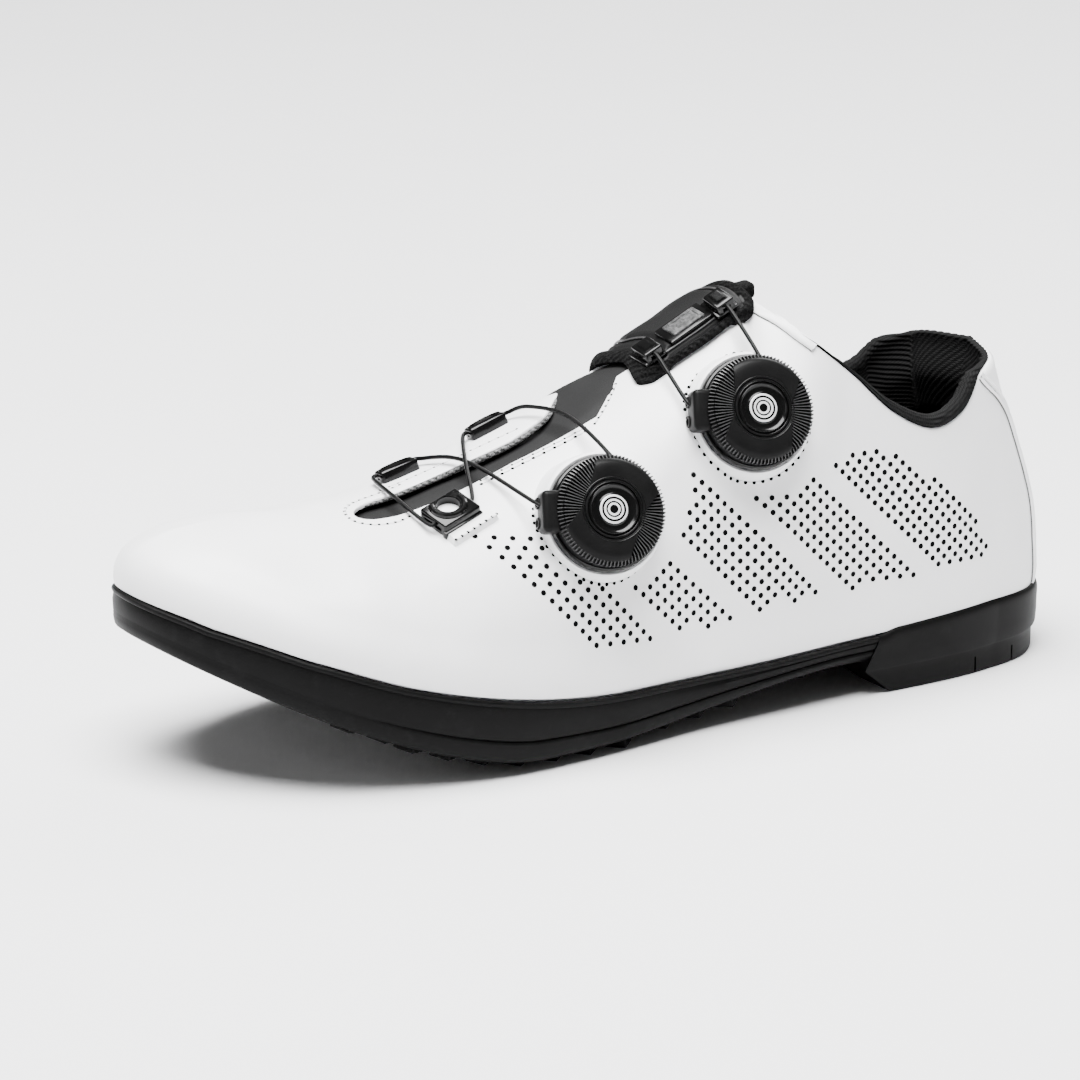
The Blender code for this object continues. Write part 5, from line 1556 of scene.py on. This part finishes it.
# %% Pedal pad
pad_edge = pad_outline(0.0, 72)
middle = sum(pad_edge, Vector()) / len(pad_edge)
PAD_SECTION = ((0.3, -1.7), (1.0, -1.7), (1.0, -0.6), (1.0, 0.9), (0.992, 1.5), (0.975, 1.65), (0.955, 1.6),
               (0.94, 1.4), (0.932, 0.95), (0.92, 0.9), (0.8, 0.9), (0.6, 0.9), (0.4, 0.9), (0.2, 0.9),
               (0.0, 0.9))
pad_rows = []
for scale, drop in ((0.0, -1.7),) + PAD_SECTION:
    ring = [middle.lerp(point, scale) for point in pad_edge]
    pad_rows.append([Vector((p.x, p.y, base_height(p.x) - drop * MM)) for p in ring])
pad = laid_grid("pedal_pad_rubber", pad_rows, PAD_RUBBER, ring=True)
weld(pad)
face_off(pad, middle + Vector((0, 0, base_height(middle.x))))
second_look(pad, WORN_PAD, lambda face: base_height(face.center.x) - face.center.z > 1.45 * MM)
smooth(pad, 40)

clear_selection()
bpy.ops.mesh.primitive_cylinder_add(vertices=28, radius=5.8 * MM, depth=2.6 * MM, location=(0, 0, 1.3 * MM))
stud = grounded(PAD_RUBBER)
pick_faces(stud, lambda centre, normal: normal.z > 0.9)
bpy.ops.transform.resize(value=(0.9, 0.9, 1))
bpy.ops.mesh.bevel(offset=0.35 * MM, segments=2, affect="EDGES")
leave_edit()
pick_faces(stud, lambda centre, normal: normal.z > 0.999 and centre.to_2d().length < 0.5 * MM)
for thickness, depth in ((1.35, 0.0), (0.55, -0.45), (0.7, -0.3), (0.9, -0.15)):
    bpy.ops.mesh.inset(thickness=thickness * MM, depth=depth * MM)
leave_edit()
second_look(stud, WORN_PAD,
            lambda face: face.normal.z > 0.98 and 3.2 * MM < face.center.to_2d().length < 5.2 * MM)
stud_frames = []
for row in range(4):
    for column in range(4):
        aside, along = (column - 1.5) * 0.262 * PAD_WIDTH, (row - 1.5) * 0.262 * PAD_LENGTH
        x = (PAD_PLACE - 0.5) * SHOE_LENGTH + along - PAD_SHEAR * aside
        y = station(PAD_PLACE).spine * BALL_WIDTH + aside
        stud_frames.append(placed((x, y, tread_height(x) + 2.55 * MM), (1, 0, 0), (0, 0, -1)))
studs = stamped("pad_studs", stud, stud_frames, 35)
print("studs:", len(stud_frames))

# %% [markdown]
# ## Strap, guides and dials
# The strap crosses the instep from the inner side. Its edge is bound in felt, a bead and a groove follow
# the binding, and a bevelled panel stands up in the middle. One grid carries all of it: the height at
# each corner is read from its distance to the strap's edge.
# The bead's lighter black is a painted highlight.

# %% Strap
STRAP_OUTER, STRAP_INNER, STRAP_CORNER = 15.5, -44.0, 9.0


def strap_place(part, reach):
    """The rib of a point of the strap: part runs from its back edge to its front edge."""
    end = max(0.0, (reach - STRAP_OUTER) / STRAP_CORNER + 1)
    start = max(0.0, (STRAP_INNER - reach) / (2 * STRAP_CORNER) + 1)
    narrow = 0.11 * end**4 + 0.12 * start**2
    slant = max(0.0, STRAP_CORNER - reach) / (STRAP_OUTER - STRAP_INNER)
    back, front = 7.9 + 0.35 * slant, 9.94 - 1.0 * max(0.0, -11 - reach) / 33
    return back + (front - back) * (narrow + (1 - 2 * narrow) * part), (front - back) * (1 - 2
                                                                                         * narrow) * 13.2


def strap_height(edge):
    """Height over the strap's face at a distance from its edge, both in millimetres."""
    roll = 0.75 * hump(1.5, 1.5, edge) - 0.9 * (1 - min(1.0, edge / 0.7)) ** 2
    return roll - 0.35 * hump(3.1, 0.5, edge) + 0.22 * hump(3.9, 0.45, edge) + 0.95 * smooth_step(5.6, 6.5,
                                                                                                  edge)


strap_rows, edges = [], []
for k in range(61):
    row = []
    for n in range(113):
        reach = STRAP_INNER + (STRAP_OUTER - STRAP_INNER) * n / 112
        part = k / 60
        place, wide = strap_place(part, reach)
        sides = min(part, 1 - part) * wide
        ends = min(STRAP_OUTER - reach, reach - STRAP_INNER)
        edge = min(sides, ends)
        near = max(0.0, 6 - sides), max(0.0, 6 - ends)
        edge = max(0.0, min(edge, 6 - math.hypot(*near))) if min(near) > 0 else edge
        row.append(over_instep(place, reach * MM, (2.2 + strap_height(edge)) * MM))
        edges.append(edge)
    strap_rows.append(row)
strap = laid_grid("instep_strap_body", strap_rows, STRAP_SKIN)
face_off(strap, (-0.02, 0, 0.04))
strap.data.materials.append(BINDING)
for face in strap.data.polygons:
    face.material_index = 1 if sum(edges[v] for v in face.vertices) / len(face.vertices) < 2.9 else 0
thickened(strap, 1.6 * MM, rim=1)
smooth(strap, 45)
bead_line = []
for part, reach in ([(1.0, r) for r in range(-38, 11, 4)]
                    + [(0.9, 12.4), (0.75, STRAP_OUTER), (0.5, STRAP_OUTER),
                    (0.25, STRAP_OUTER), (0.1, 12.4)] + [(0.0, r) for r in range(10, -39, -4)]):
    reach = min(reach, STRAP_OUTER - 5.2)
    place, wide = strap_place(part, reach)
    margin = 5.2 / wide
    place, wide = strap_place(min(1 - margin, max(margin, part)), reach)
    bead_line.append(over_instep(place, reach * MM, 2.6 * MM))
bead_line = smooth_line(bead_line, 0.8 * MM)
# The bead is a lighter, glossier black than the strap: a painted highlight along it.
strap_bead = tube("strap_bead", bead_line, 0.34 * MM, RIDGE_HIGHLIGHT, 8)
print("strap:", len(strap.data.polygons), "faces")

# %% [markdown]
# The guides are small moulded blocks. Each starts as a bevelled block; the ends that swallow the lace are
# inset and pushed in, which leaves the hood over a dark mouth.

# %% Guide places
Guide = namedtuple("Guide", "name on rib reach turn size")
GUIDES = (
    Guide("throat_guide_outer", "upper", 11.56, 0.262, 12, (13, 10.5, 3.6)),
    Guide("throat_guide_inner_front", "upper", 11.69, -0.105, 0, (12, 5, 3.0)),
    Guide("throat_guide_inner_rear", "upper", 10.89, -0.112, 0, (12, 5, 3.0)),
    Guide("strap_guide_front", "strap", 9.68, 0.075, -90, (7.5, 6, 3.4)),
    Guide("strap_guide_rear", "strap", 8.50, 0.085, -90, (7.5, 6, 3.4)),
    Guide("strap_plate", "strap", 9.10, 0.055, 0, (11.5, 8.5, 1.4)),
)


def seat_frame(place, reach, lift):
    """A frame on the upper: X towards the heel along the ridge, Z out of the surface."""
    origin = over_instep(place, reach, lift)
    heelward = over_instep(place - 0.2, reach, lift) - over_instep(place + 0.2, reach, lift)
    return placed(origin, heelward, outward(1 if reach >= 0 else -1, max(place, RIDGE_RIB), abs(reach)))


FRAMES, SIZES = {}, {}
for guide in GUIDES:
    lift = 0.5 * MM if guide.on == "upper" else 3.1 * MM
    found = seat_frame(guide.rib, guide.reach * BALL_WIDTH, lift)
    FRAMES[guide.name] = found @ Matrix.Rotation(math.radians(guide.turn), 4, "Z")
    SIZES[guide.name] = guide.size


def mouthed(name, size, bevel, mouths, wall=1.0, deep=2.2):
    """A moulded block whose ends towards the given directions have a mouth."""
    made = bevelled_block(name, size, bevel, GLOSS_PLASTIC, 3)
    for mouth in mouths:
        pick_faces(made, lambda centre, normal: normal.dot(Vector(mouth)) > 0.99)
        bpy.ops.mesh.inset(thickness=wall * MM, depth=0)
        bpy.ops.mesh.inset(thickness=0.15 * MM, depth=-deep * MM)
        bpy.ops.object.mode_set(mode="OBJECT")
    return made


# %% Strap guides and plate
guides = {}
for name in ("strap_guide_front", "strap_guide_rear"):
    body = mouthed(name + "_body", (7.5, 6.0, 4.4), 0.5, [(1, 0, 0)], 1.1, 3.0)
    pick_faces(body, lambda centre, normal: normal.z > 0.99)
    bpy.ops.mesh.inset(thickness=0.8 * MM, depth=0)
    bpy.ops.mesh.inset(thickness=0.5 * MM, depth=0.5 * MM)
    bpy.ops.object.mode_set(mode="OBJECT")
    foot = bevelled_block(name + "_foot", (9.0, 7.6, 1.6), 0.5, GLOSS_PLASTIC)
    settle(foot, Matrix.Translation((-0.6 * MM, 0, 0)))
    body = joined(name + "_hood", [body, foot])
    guides[name] = settle(smooth(body, 35), FRAMES[name] @ Matrix.Translation((0, 0, -0.9 * MM)))
plate = bevelled_block("strap_plate_face", (11.0, 6.6, 2.1), 0.45, PLATE, 3)
pick_faces(plate, lambda centre, normal: normal.z > 0.99)
bpy.ops.mesh.inset(thickness=0.7 * MM, depth=0)
bpy.ops.mesh.inset(thickness=0.25 * MM, depth=-0.25 * MM)
bpy.ops.object.mode_set(mode="OBJECT")
frame_ring = bevelled_block("strap_plate_frame", (15.5, 9.4, 1.4), 0.5, GLOSS_PLASTIC, 2)
plate = joined("strap_plate_pebbled", [plate, frame_ring])
guides["strap_plate"] = settle(smooth(plate, 35),
                               FRAMES["strap_plate"] @ Matrix.Translation((0, 0, -0.4 * MM)))

# %% Guides on the inner side of the throat
for name in ("throat_guide_inner_front", "throat_guide_inner_rear"):
    body = mouthed(name + "_body", (12.0, 5.0, 4.2), 0.9, [(1, 0, 0), (-1, 0, 0)], 0.9, 2.0)
    pick_faces(body, lambda centre, normal: normal.z > 0.99)
    bpy.ops.mesh.inset(thickness=0.5 * MM, depth=0)
    bpy.ops.mesh.inset(thickness=0.4 * MM, depth=-0.7 * MM)
    bpy.ops.object.mode_set(mode="OBJECT")
    turns = [2 * math.pi * k / 40 for k in range(41)]
    loop_line = [Vector((5.0 * math.cos(t), 1.75 * math.sin(t), 4.15)) * MM for t in turns]
    loop = tube(name + "_loop", loop_line, 0.35 * MM, GLOSS_PLASTIC, 8)
    body = joined(name + "_hood", [body, loop])
    guides[name] = settle(smooth(body, 40), FRAMES[name] @ Matrix.Translation((0, 0, -1.3 * MM)))

# %% [markdown]
# The outer guide is a square housing with a round eye through which the leather shows, and a horseshoe
# collar round the eye. A white tab of leather, sewn along its lower edge, holds it down.

# %% Outer guide
body = mouthed("throat_guide_outer_body", (13.0, 10.5, 4.6), 0.6, [(1, 0, 0), (-1, 0, 0)], 1.2, 1.2)
clear_selection()
bpy.ops.mesh.primitive_cylinder_add(vertices=40, radius=3.4 * MM, depth=12 * MM,
                                    location=(0, 0.9 * MM, 3 * MM))
borer = bpy.context.object
bored = body.modifiers.new("eye", "BOOLEAN")
bored.object, bored.solver = borer, "EXACT"
apply_all(body)
bpy.data.objects.remove(borer, do_unlink=True)
parts = [body]
for radius, height, thick, start, turn in ((4.5, 4.7, 0.95, -215, 250), (3.55, 4.9, 0.35, -250, 320)):
    line = []
    for k in range(41):
        t = math.radians(start + turn * k / 40)
        line.append(Vector((radius * math.cos(t), 0.9 + radius * math.sin(t), height)) * MM)
    parts.append(tube("eye_collar", line, thick * MM, GLOSS_PLASTIC, 10))
lip = bevelled_block("lower_lip", (13.6, 1.6, 2.6), 0.4, GLOSS_PLASTIC)
parts.append(settle(lip, Matrix.Translation((0, -5.0 * MM, 0))))
eye_floor = turned("eye_floor", ((0, 1.6), (3.45, 1.6), (3.45, 2.4), (3.0, 2.5), (0, 2.6)), 40, LEATHER)
parts.append(settle(eye_floor, Matrix.Translation((0, 0.9 * MM, 0))))
body = smooth(joined("throat_guide_outer_hood", parts), 35)
guides["throat_guide_outer"] = settle(body,
                                      FRAMES["throat_guide_outer"] @ Matrix.Translation((0, 0, -1.2 * MM)))

tab_rows = []
for k in range(9):
    aside = -9.4 + 6.0 * k / 8
    row = []
    for n in range(21):
        along = -6.6 + 16.4 * n / 20
        edge = min(along + 6.6, 9.8 - along, aside + 9.4)
        point, normal = on_skin(FRAMES["throat_guide_outer"] @ Vector((along * MM, aside * MM, 0)))
        row.append(point + normal * (1.6 * smooth_step(-0.1, 0.6, edge) - 0.1) * MM)
    tab_rows.append(row)
tab = laid_grid("outer_guide_tab", tab_rows, LEATHER)
face_off(tab, (0.03, 0, 0.03))
smooth(tab, 60)
tab_line = [on_skin(FRAMES["throat_guide_outer"] @ Vector((x * MM, -8.4 * MM, 0)), 1.5 * MM)
            for x in (-5.6, -3.4, -1.2, 1.0, 3.2, 5.4, 7.6, 9.2)]
stitch_rows.append(sewn("stitches_tab", tab_line, 1.7, 0.8, 0.5))
print("guides:", sorted(guides))

# %% [markdown]
# ## Dials
# A dial is a white sewn seat, a black housing with its lace ports, and a toothed knob. The knob is spun
# from a profile; its two smooth lobes are discs cut by straight planes; the ribs between them and the
# ninety teeth of the rim are one fin each, stamped round the axis. A plain ringed disc sits in the
# middle.
# The tops of the teeth and ribs are a lighter black, a painted highlight.

# %% Dial places
KNOB = 15.4
PORT_TURN = -10


def dial_frame(dial):
    """Origin on the upper, Z out along the dial's axis, X to the heel and Y up."""
    high, turn = math.radians(dial.elevation), math.radians(dial.yaw)
    axis = Vector((math.sin(turn) * math.cos(high), math.cos(turn) * math.cos(high), math.sin(high)))
    return placed(surface(1, dial.rib, dial.reach * BALL_WIDTH), (-1, 0, 0), axis)


def round_z(turn, reach=0.0, height=0.0):
    """A place on a circle round the Z axis, its X pointing outwards."""
    return Matrix.Rotation(turn, 4, "Z") @ Matrix.Translation((reach * MM, 0, height * MM))


def fin(name, inner, outer, width, low, high_inner, high_outer, look):
    """A radial fin from one radius to another with a sloping top."""
    clear_selection()
    bpy.ops.mesh.primitive_cube_add(size=1)
    made = bpy.context.object
    made.name = made.data.name = name
    for corner in made.data.vertices:
        far, top = corner.co.x > 0, corner.co.z > 0
        height = (high_outer if far else high_inner) if top else low
        wide = width * (0.5 if top else 1.0) * (1.0 if far else 0.7)
        corner.co = (outer if far else inner, math.copysign(wide / 2, corner.co.y), height)
        corner.co *= MM
    made.data.materials.append(look)
    made.data.materials.append(RIDGE_HIGHLIGHT)
    # The fin's top faces take the lighter ridge black: a painted highlight.
    for face in made.data.polygons:
        face.material_index = 1 if face.center.z > (low
                                                    + high_outer) / 2 * MM and abs(face.normal.z) > 0.5 else 0
    return made


# %% Knob
LOBE_CUTS = (((0, 0.02), (0, -1)), ((-0.53, 0), (-1, 0)), ((0.53, 0.08), (0.93, -0.375)))
CORE = ((0, 6.0), (14.6, 6.0), (15.1, 6.5), (15.1, 10.5), (14.9, 11.0), (14.3, 11.5), (13.6, 11.9),
        (8.3, 12.1), (8.15, 13.6),
        (8.0, 13.95), (7.75, 14.0), (7.5, 13.8), (7.45, 12.6), (0, 12.6))
LOBE = ((8.25, 11.2), (14.35, 11.2), (14.4, 12.1), (14.2, 12.7), (13.6, 13.35), (12.8, 13.7), (11.5, 13.9),
        (10.0, 13.98), (8.6, 13.9), (8.25, 13.6))


def knob(dial, base):
    """The toothed knob with its lobes and ribs."""
    turn_by = base @ Matrix.Rotation(math.radians(dial.turn), 4, "Z")
    parts = [turned("core", CORE, 96, SATIN_PLASTIC)]
    for half in (0, 1):
        lobe = turned("lobe", LOBE, 120, SATIN_PLASTIC)
        only(lobe)
        bpy.ops.object.mode_set(mode="EDIT")
        for (x, y), (nx, ny) in LOBE_CUTS:
            bpy.ops.mesh.select_all(action="SELECT")
            bpy.ops.mesh.bisect(plane_co=(x * KNOB * MM, y * KNOB * MM, 0), plane_no=(nx, ny, 0),
                                use_fill=True,
                                clear_outer=True)
        bpy.ops.object.mode_set(mode="OBJECT")
        settle(lobe, Matrix.Rotation(math.pi * half, 4, "Z"))
        parts.append(smooth(lobe, 30))
    step = 2 * math.pi / 90
    tooth = fin("tooth", 14.1, KNOB, 0.56, 9.9, 12.7, 11.7, SATIN_PLASTIC)
    parts.append(stamped("teeth", tooth, [round_z(k * step) for k in range(90)], 30))
    rib = fin("rib", 8.4, 14.0, 0.56, 11.4, 13.3, 13.0, SATIN_PLASTIC)
    left = [k * step for k in range(31, 56)]
    parts.append(stamped("ribs", rib, [round_z(t + half * math.pi) for half in (0, 1) for t in left], 30))
    for radius, height in ((8.9, 13.93), (7.55, 14.0), (6.72, 14.0)):
        clear_selection()
        bpy.ops.mesh.primitive_torus_add(major_radius=radius * MM, minor_radius=0.13 * MM, major_segments=72,
                                         minor_segments=8, location=(0, 0, height * MM))
        parts.append(smooth(grounded(GLOSS_PLASTIC), 80))
    made = joined(f"dial_{dial.name}_toothed_knob", parts)
    return settle(made, turn_by)


# %% Disc in the middle
CAP = ((0, 12.8), (7.25, 12.8), (7.3, 13.7), (7.05, 13.95), (6.6, 13.95), (6.3, 13.7), (5.2, 13.5),
       (4.5, 13.55),
       (4.2, 13.75), (4.05, 13.5), (0, 13.5))
DISC = ((0, 13.3), (4.0, 13.3), (4.0, 13.75), (3.85, 13.85), (3.45, 13.85), (3.35, 13.7), (2.95, 13.7),
        (2.85, 13.85),
        (2.25, 13.85), (2.15, 13.7), (1.9, 13.7), (1.8, 13.85), (1.2, 13.85), (1.1, 13.65), (0.0, 13.65))


def middle_disc(dial, base):
    cap = turned("cap", CAP, 72, GLOSS_PLASTIC)
    disc = turned("disc", DISC, 72, SILVER)
    disc.data.materials.append(GLOSS_PLASTIC)
    for face in disc.data.polygons:
        reach = face.center.to_2d().length / MM
        low = face.center.z < 13.8 * MM
        face.material_index = 1 if low and (reach < 1.15 or 1.8 < reach < 2.25 or 2.85 < reach < 3.45) else 0
    return settle(joined(f"dial_{dial.name}_ringed_cap", [cap, disc]), base)


# %% Housing and ports
HOUSING = ((0, 3.5), (15.4, 3.5), (16.1, 4.0), (16.2, 6.2), (15.9, 6.8), (15.4, 7.0), (15.3, 6.0),
           (14.3, 5.75), (0, 5.75))


def housing(dial, base):
    parts = [turned("ring", HOUSING, 96, GLOSS_PLASTIC)]
    block = bevelled_block("port_block", (5.6, 11.6, 7.2), 1.5, SATIN_PLASTIC, 4)
    parts.append(settle(block, Matrix.Translation((-16.3 * MM, 0, 3.8 * MM))))
    for aside in (-2.75, 2.75):
        mouth_profile = ((0.9, 0.4), (0.95, 0.85), (1.15, 1.0), (1.5, 1.0), (1.7, 0.8), (1.75, 0.4),
                         (0.9, 0.4))
        mouth = turned("mouth", mouth_profile, 24, SATIN_PLASTIC)
        face_out = placed(Vector((-18.5, aside, 5.3)) * MM, (0, 0, 1), (-1, 0, 0))
        parts.append(settle(mouth, face_out))
        # A near-black disc in each mouth: painted shade for the port's depth.
        dark = turned("dark", ((0, 0.5), (1.0, 0.5), (1.0, 0.66), (0, 0.66)), 20, HOLE_SHADE)
        parts.append(settle(dark, face_out))
    made = smooth(joined(f"dial_{dial.name}_housing", parts), 35)
    return settle(made, base @ Matrix.Rotation(math.radians(PORT_TURN), 4, "Z"))


# %% Sewn welt


def seat(dial, base):
    """The white sewn welt under a dial, drawn down to the leather all round."""
    rings = [[], [], [], [], [], [], [], []]
    way = (base.to_3x3() @ Vector((0, 0, -1))).normalized()
    for k in range(96):
        turn = 2 * math.pi * k / 96
        foot = []
        for radius in (17.4, 18.2):
            spot = base @ (Vector((radius * math.cos(turn), radius * math.sin(turn), 8)) * MM)
            found, _, _, far = SKIN.ray_cast(spot, way)
            foot.append(8 - far / MM if found else 0.0)
        profile = ((0.0, 3.4), (15.6, 3.4), (16.1, 4.4), (16.8, 4.7), (17.4, 4.3),
                   (17.7, max(3.4, foot[1] + 0.5)),
                   (17.9, max(1.4, foot[1] + 0.2)), (18.3, foot[1] - 0.25))
        for ring, (radius, height) in zip(rings, profile):
            ring.append(base @ (Vector((radius * math.cos(turn), radius * math.sin(turn), height)) * MM))
    made = laid_grid(f"dial_{dial.name}_welt", rings, LEATHER, ring=True)
    weld(made)
    face_off(made, base @ Vector((0, 0, -0.02)))
    return smooth(made, 50)


dials = {}
for dial in DIALS:
    base = dial_frame(dial)
    dials[dial.name] = base
    circle = []
    for k in range(46):
        turn = 2 * math.pi * k / 45
        circle.append(on_skin(base @ (Vector((18.7 * math.cos(turn), 18.7 * math.sin(turn), 0)) * MM)))
    stitch_rows.append(sewn(f"stitches_dial_{dial.name}", circle, 1.5, 0.8, 0.6))
pieces = {}
for dial in DIALS:
    base = dials[dial.name]
    pieces[f"dial_{dial.name}_knob"] = knob(dial, base)
    pieces[f"dial_{dial.name}_cap"] = middle_disc(dial, base)
    pieces[f"dial_{dial.name}_base"] = housing(dial, base)
    pieces[f"dial_{dial.name}_seat"] = seat(dial, base)
print("dial pieces:", {name: len(piece.data.polygons) for name, piece in pieces.items()})

# %% [markdown]
# ## Laces
# The laces are thin coated cords, held all the way between guides and dials. Each stretch is a tube along a
# smooth route, and runs on into the mouths at its ends.

# %% Lace stretches
LACE_WIDTH = 1.2


def end_of(name, way, deep=0.0):
    size = SIZES[name]
    return FRAMES[name] @ (Vector((way * (size[0] / 2 + GAP / MM + LACE_WIDTH - deep), 0, 0.55 * size[2]))
                           * MM)


def at_dial(name, x, y, z, turn=0):
    return dials[name] @ Matrix.Rotation(math.radians(turn), 4, "Z") @ (Vector((x, y, z)) * MM)


def over(rib, reach, lift):
    return over_instep(rib, reach * BALL_WIDTH, lift * MM)


ROUTES = {
    "lace_lower_crossing": [end_of("throat_guide_inner_front", 1, 3), end_of("throat_guide_inner_front", 1),
                            over(11.37, 0.073, 2.4), at_dial("lower", -19.4, 2.6, 6.1, PORT_TURN),
                            at_dial("lower", -17, 2.75, 5.8, PORT_TURN)],
    "lace_lower_other": [end_of("throat_guide_outer", 1, 3), end_of("throat_guide_outer", 1),
                         over(11.37, 0.073, 3.5),
                         end_of("throat_guide_inner_rear", -1), end_of("throat_guide_inner_rear", -1, 3)],
    "lace_lower_front": [end_of("throat_guide_inner_front", -1, 3), end_of("throat_guide_inner_front", -1),
                         over(12.04, 0.085, 1.8), end_of("throat_guide_outer", -1),
                         end_of("throat_guide_outer", -1, 3)],
    "lace_lower_rear": [end_of("throat_guide_inner_rear", 1, 3), end_of("throat_guide_inner_rear", 1),
                        over(10.71, -0.030, 3.2), over(10.52, 0.140, 4.0), at_dial("lower", 4.8, 15.2, 6.5),
                        at_dial("lower", 4.2, 12.5, 5.9)],
    "lace_upper_front": [end_of("strap_guide_front", 1, 4), end_of("strap_guide_front", 1),
                         at_dial("upper", -19.4, 2.6, 6.1, PORT_TURN),
                         at_dial("upper", -17, 2.75, 5.8, PORT_TURN)],
    "lace_upper_rear": [end_of("strap_guide_rear", 1, 4), end_of("strap_guide_rear", 1),
                        at_dial("upper", 4.8, 15.2, 6.5), at_dial("upper", 4.2, 12.5, 5.9)],
}
laces = {}
for name, route in ROUTES.items():
    line = smooth_line(route, 0.8 * MM)
    laces[name] = tube(name + "_cord", line, LACE_WIDTH / 2 * MM, LACE, 12)
    print(name, "is", round(sum((b - a).length for a, b in zip(line, line[1:])) / MM), "mm long")

# %% [markdown]
# ## Riding on the body
# Every piece rides on the shoe's one body. Those that stand for a solid say which, and name the record's
# slot that their finish comes from.

# %% Riding and replacing
STANDS_FOR = [
    (upper, ["upper"], "white_leather"), (collar, ["collar_lining"], "black_knit"),
    (tongue, ["tongue"], "grey_tongue"),
    (footbed, ["insole"], "insole_fabric"), (sole, ["sole"], "black_rubber"),
    (heel, ["heel"], "black_rubber"),
    (pad, ["pedal_pad"], "grey_pad"), (strap, ["instep_strap"], "black_strap"),
]
STANDS_FOR += [(piece, [name], "grey_plate" if name == "strap_plate" else "black_plastic")
               for name, piece in guides.items()]
for name, piece in pieces.items():
    kind = name.rsplit("_", 1)[1]
    slot = {"knob": "black_plastic", "base": "black_plastic", "cap": "silver_disc",
            "seat": "white_leather"}[kind]
    STANDS_FOR.append((piece, [name], slot))
for name, piece in laces.items():
    STANDS_FOR.append((piece, [name] if name != "lace_lower_other" else [], "black_lace"))
for piece, nodes, slot in STANDS_FOR:
    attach(piece, "root")
    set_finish(piece, slot)
    if nodes:
        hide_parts(*nodes)
tongue_loop = bevelled_block("tongue_loop", (6.0, 5.0, 4.6), 1.2, BINDING, 3)
settle(tongue_loop, placed(over_instep(7.56, 1.5 * MM, -4.0 * MM), (-1, 0, 0.3), (0.1, 0.1, 1)))
for piece in [perforations, raw_edge, tab, lugs, studs, crescent, strap_bead,
              tongue_loop] + stitch_rows + strips:
    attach(piece, "root")
for piece, slot in ((perforations, "white_leather"), (tab, "white_leather"), (lugs, "black_rubber"),
                    (studs, "grey_pad"),
                    (crescent, "black_rubber"), (strap_bead, "black_strap"), (tongue_loop, "black_strap")):
    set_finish(piece, slot)
for piece in stitch_rows + strips:
    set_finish(piece, "white_leather")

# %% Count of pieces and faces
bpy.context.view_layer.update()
shapes = [o for o in bpy.data.objects if o.type == "MESH" and "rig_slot" in o]
print("pieces:", len(shapes), "faces:", sum(len(o.data.polygons) for o in shapes))
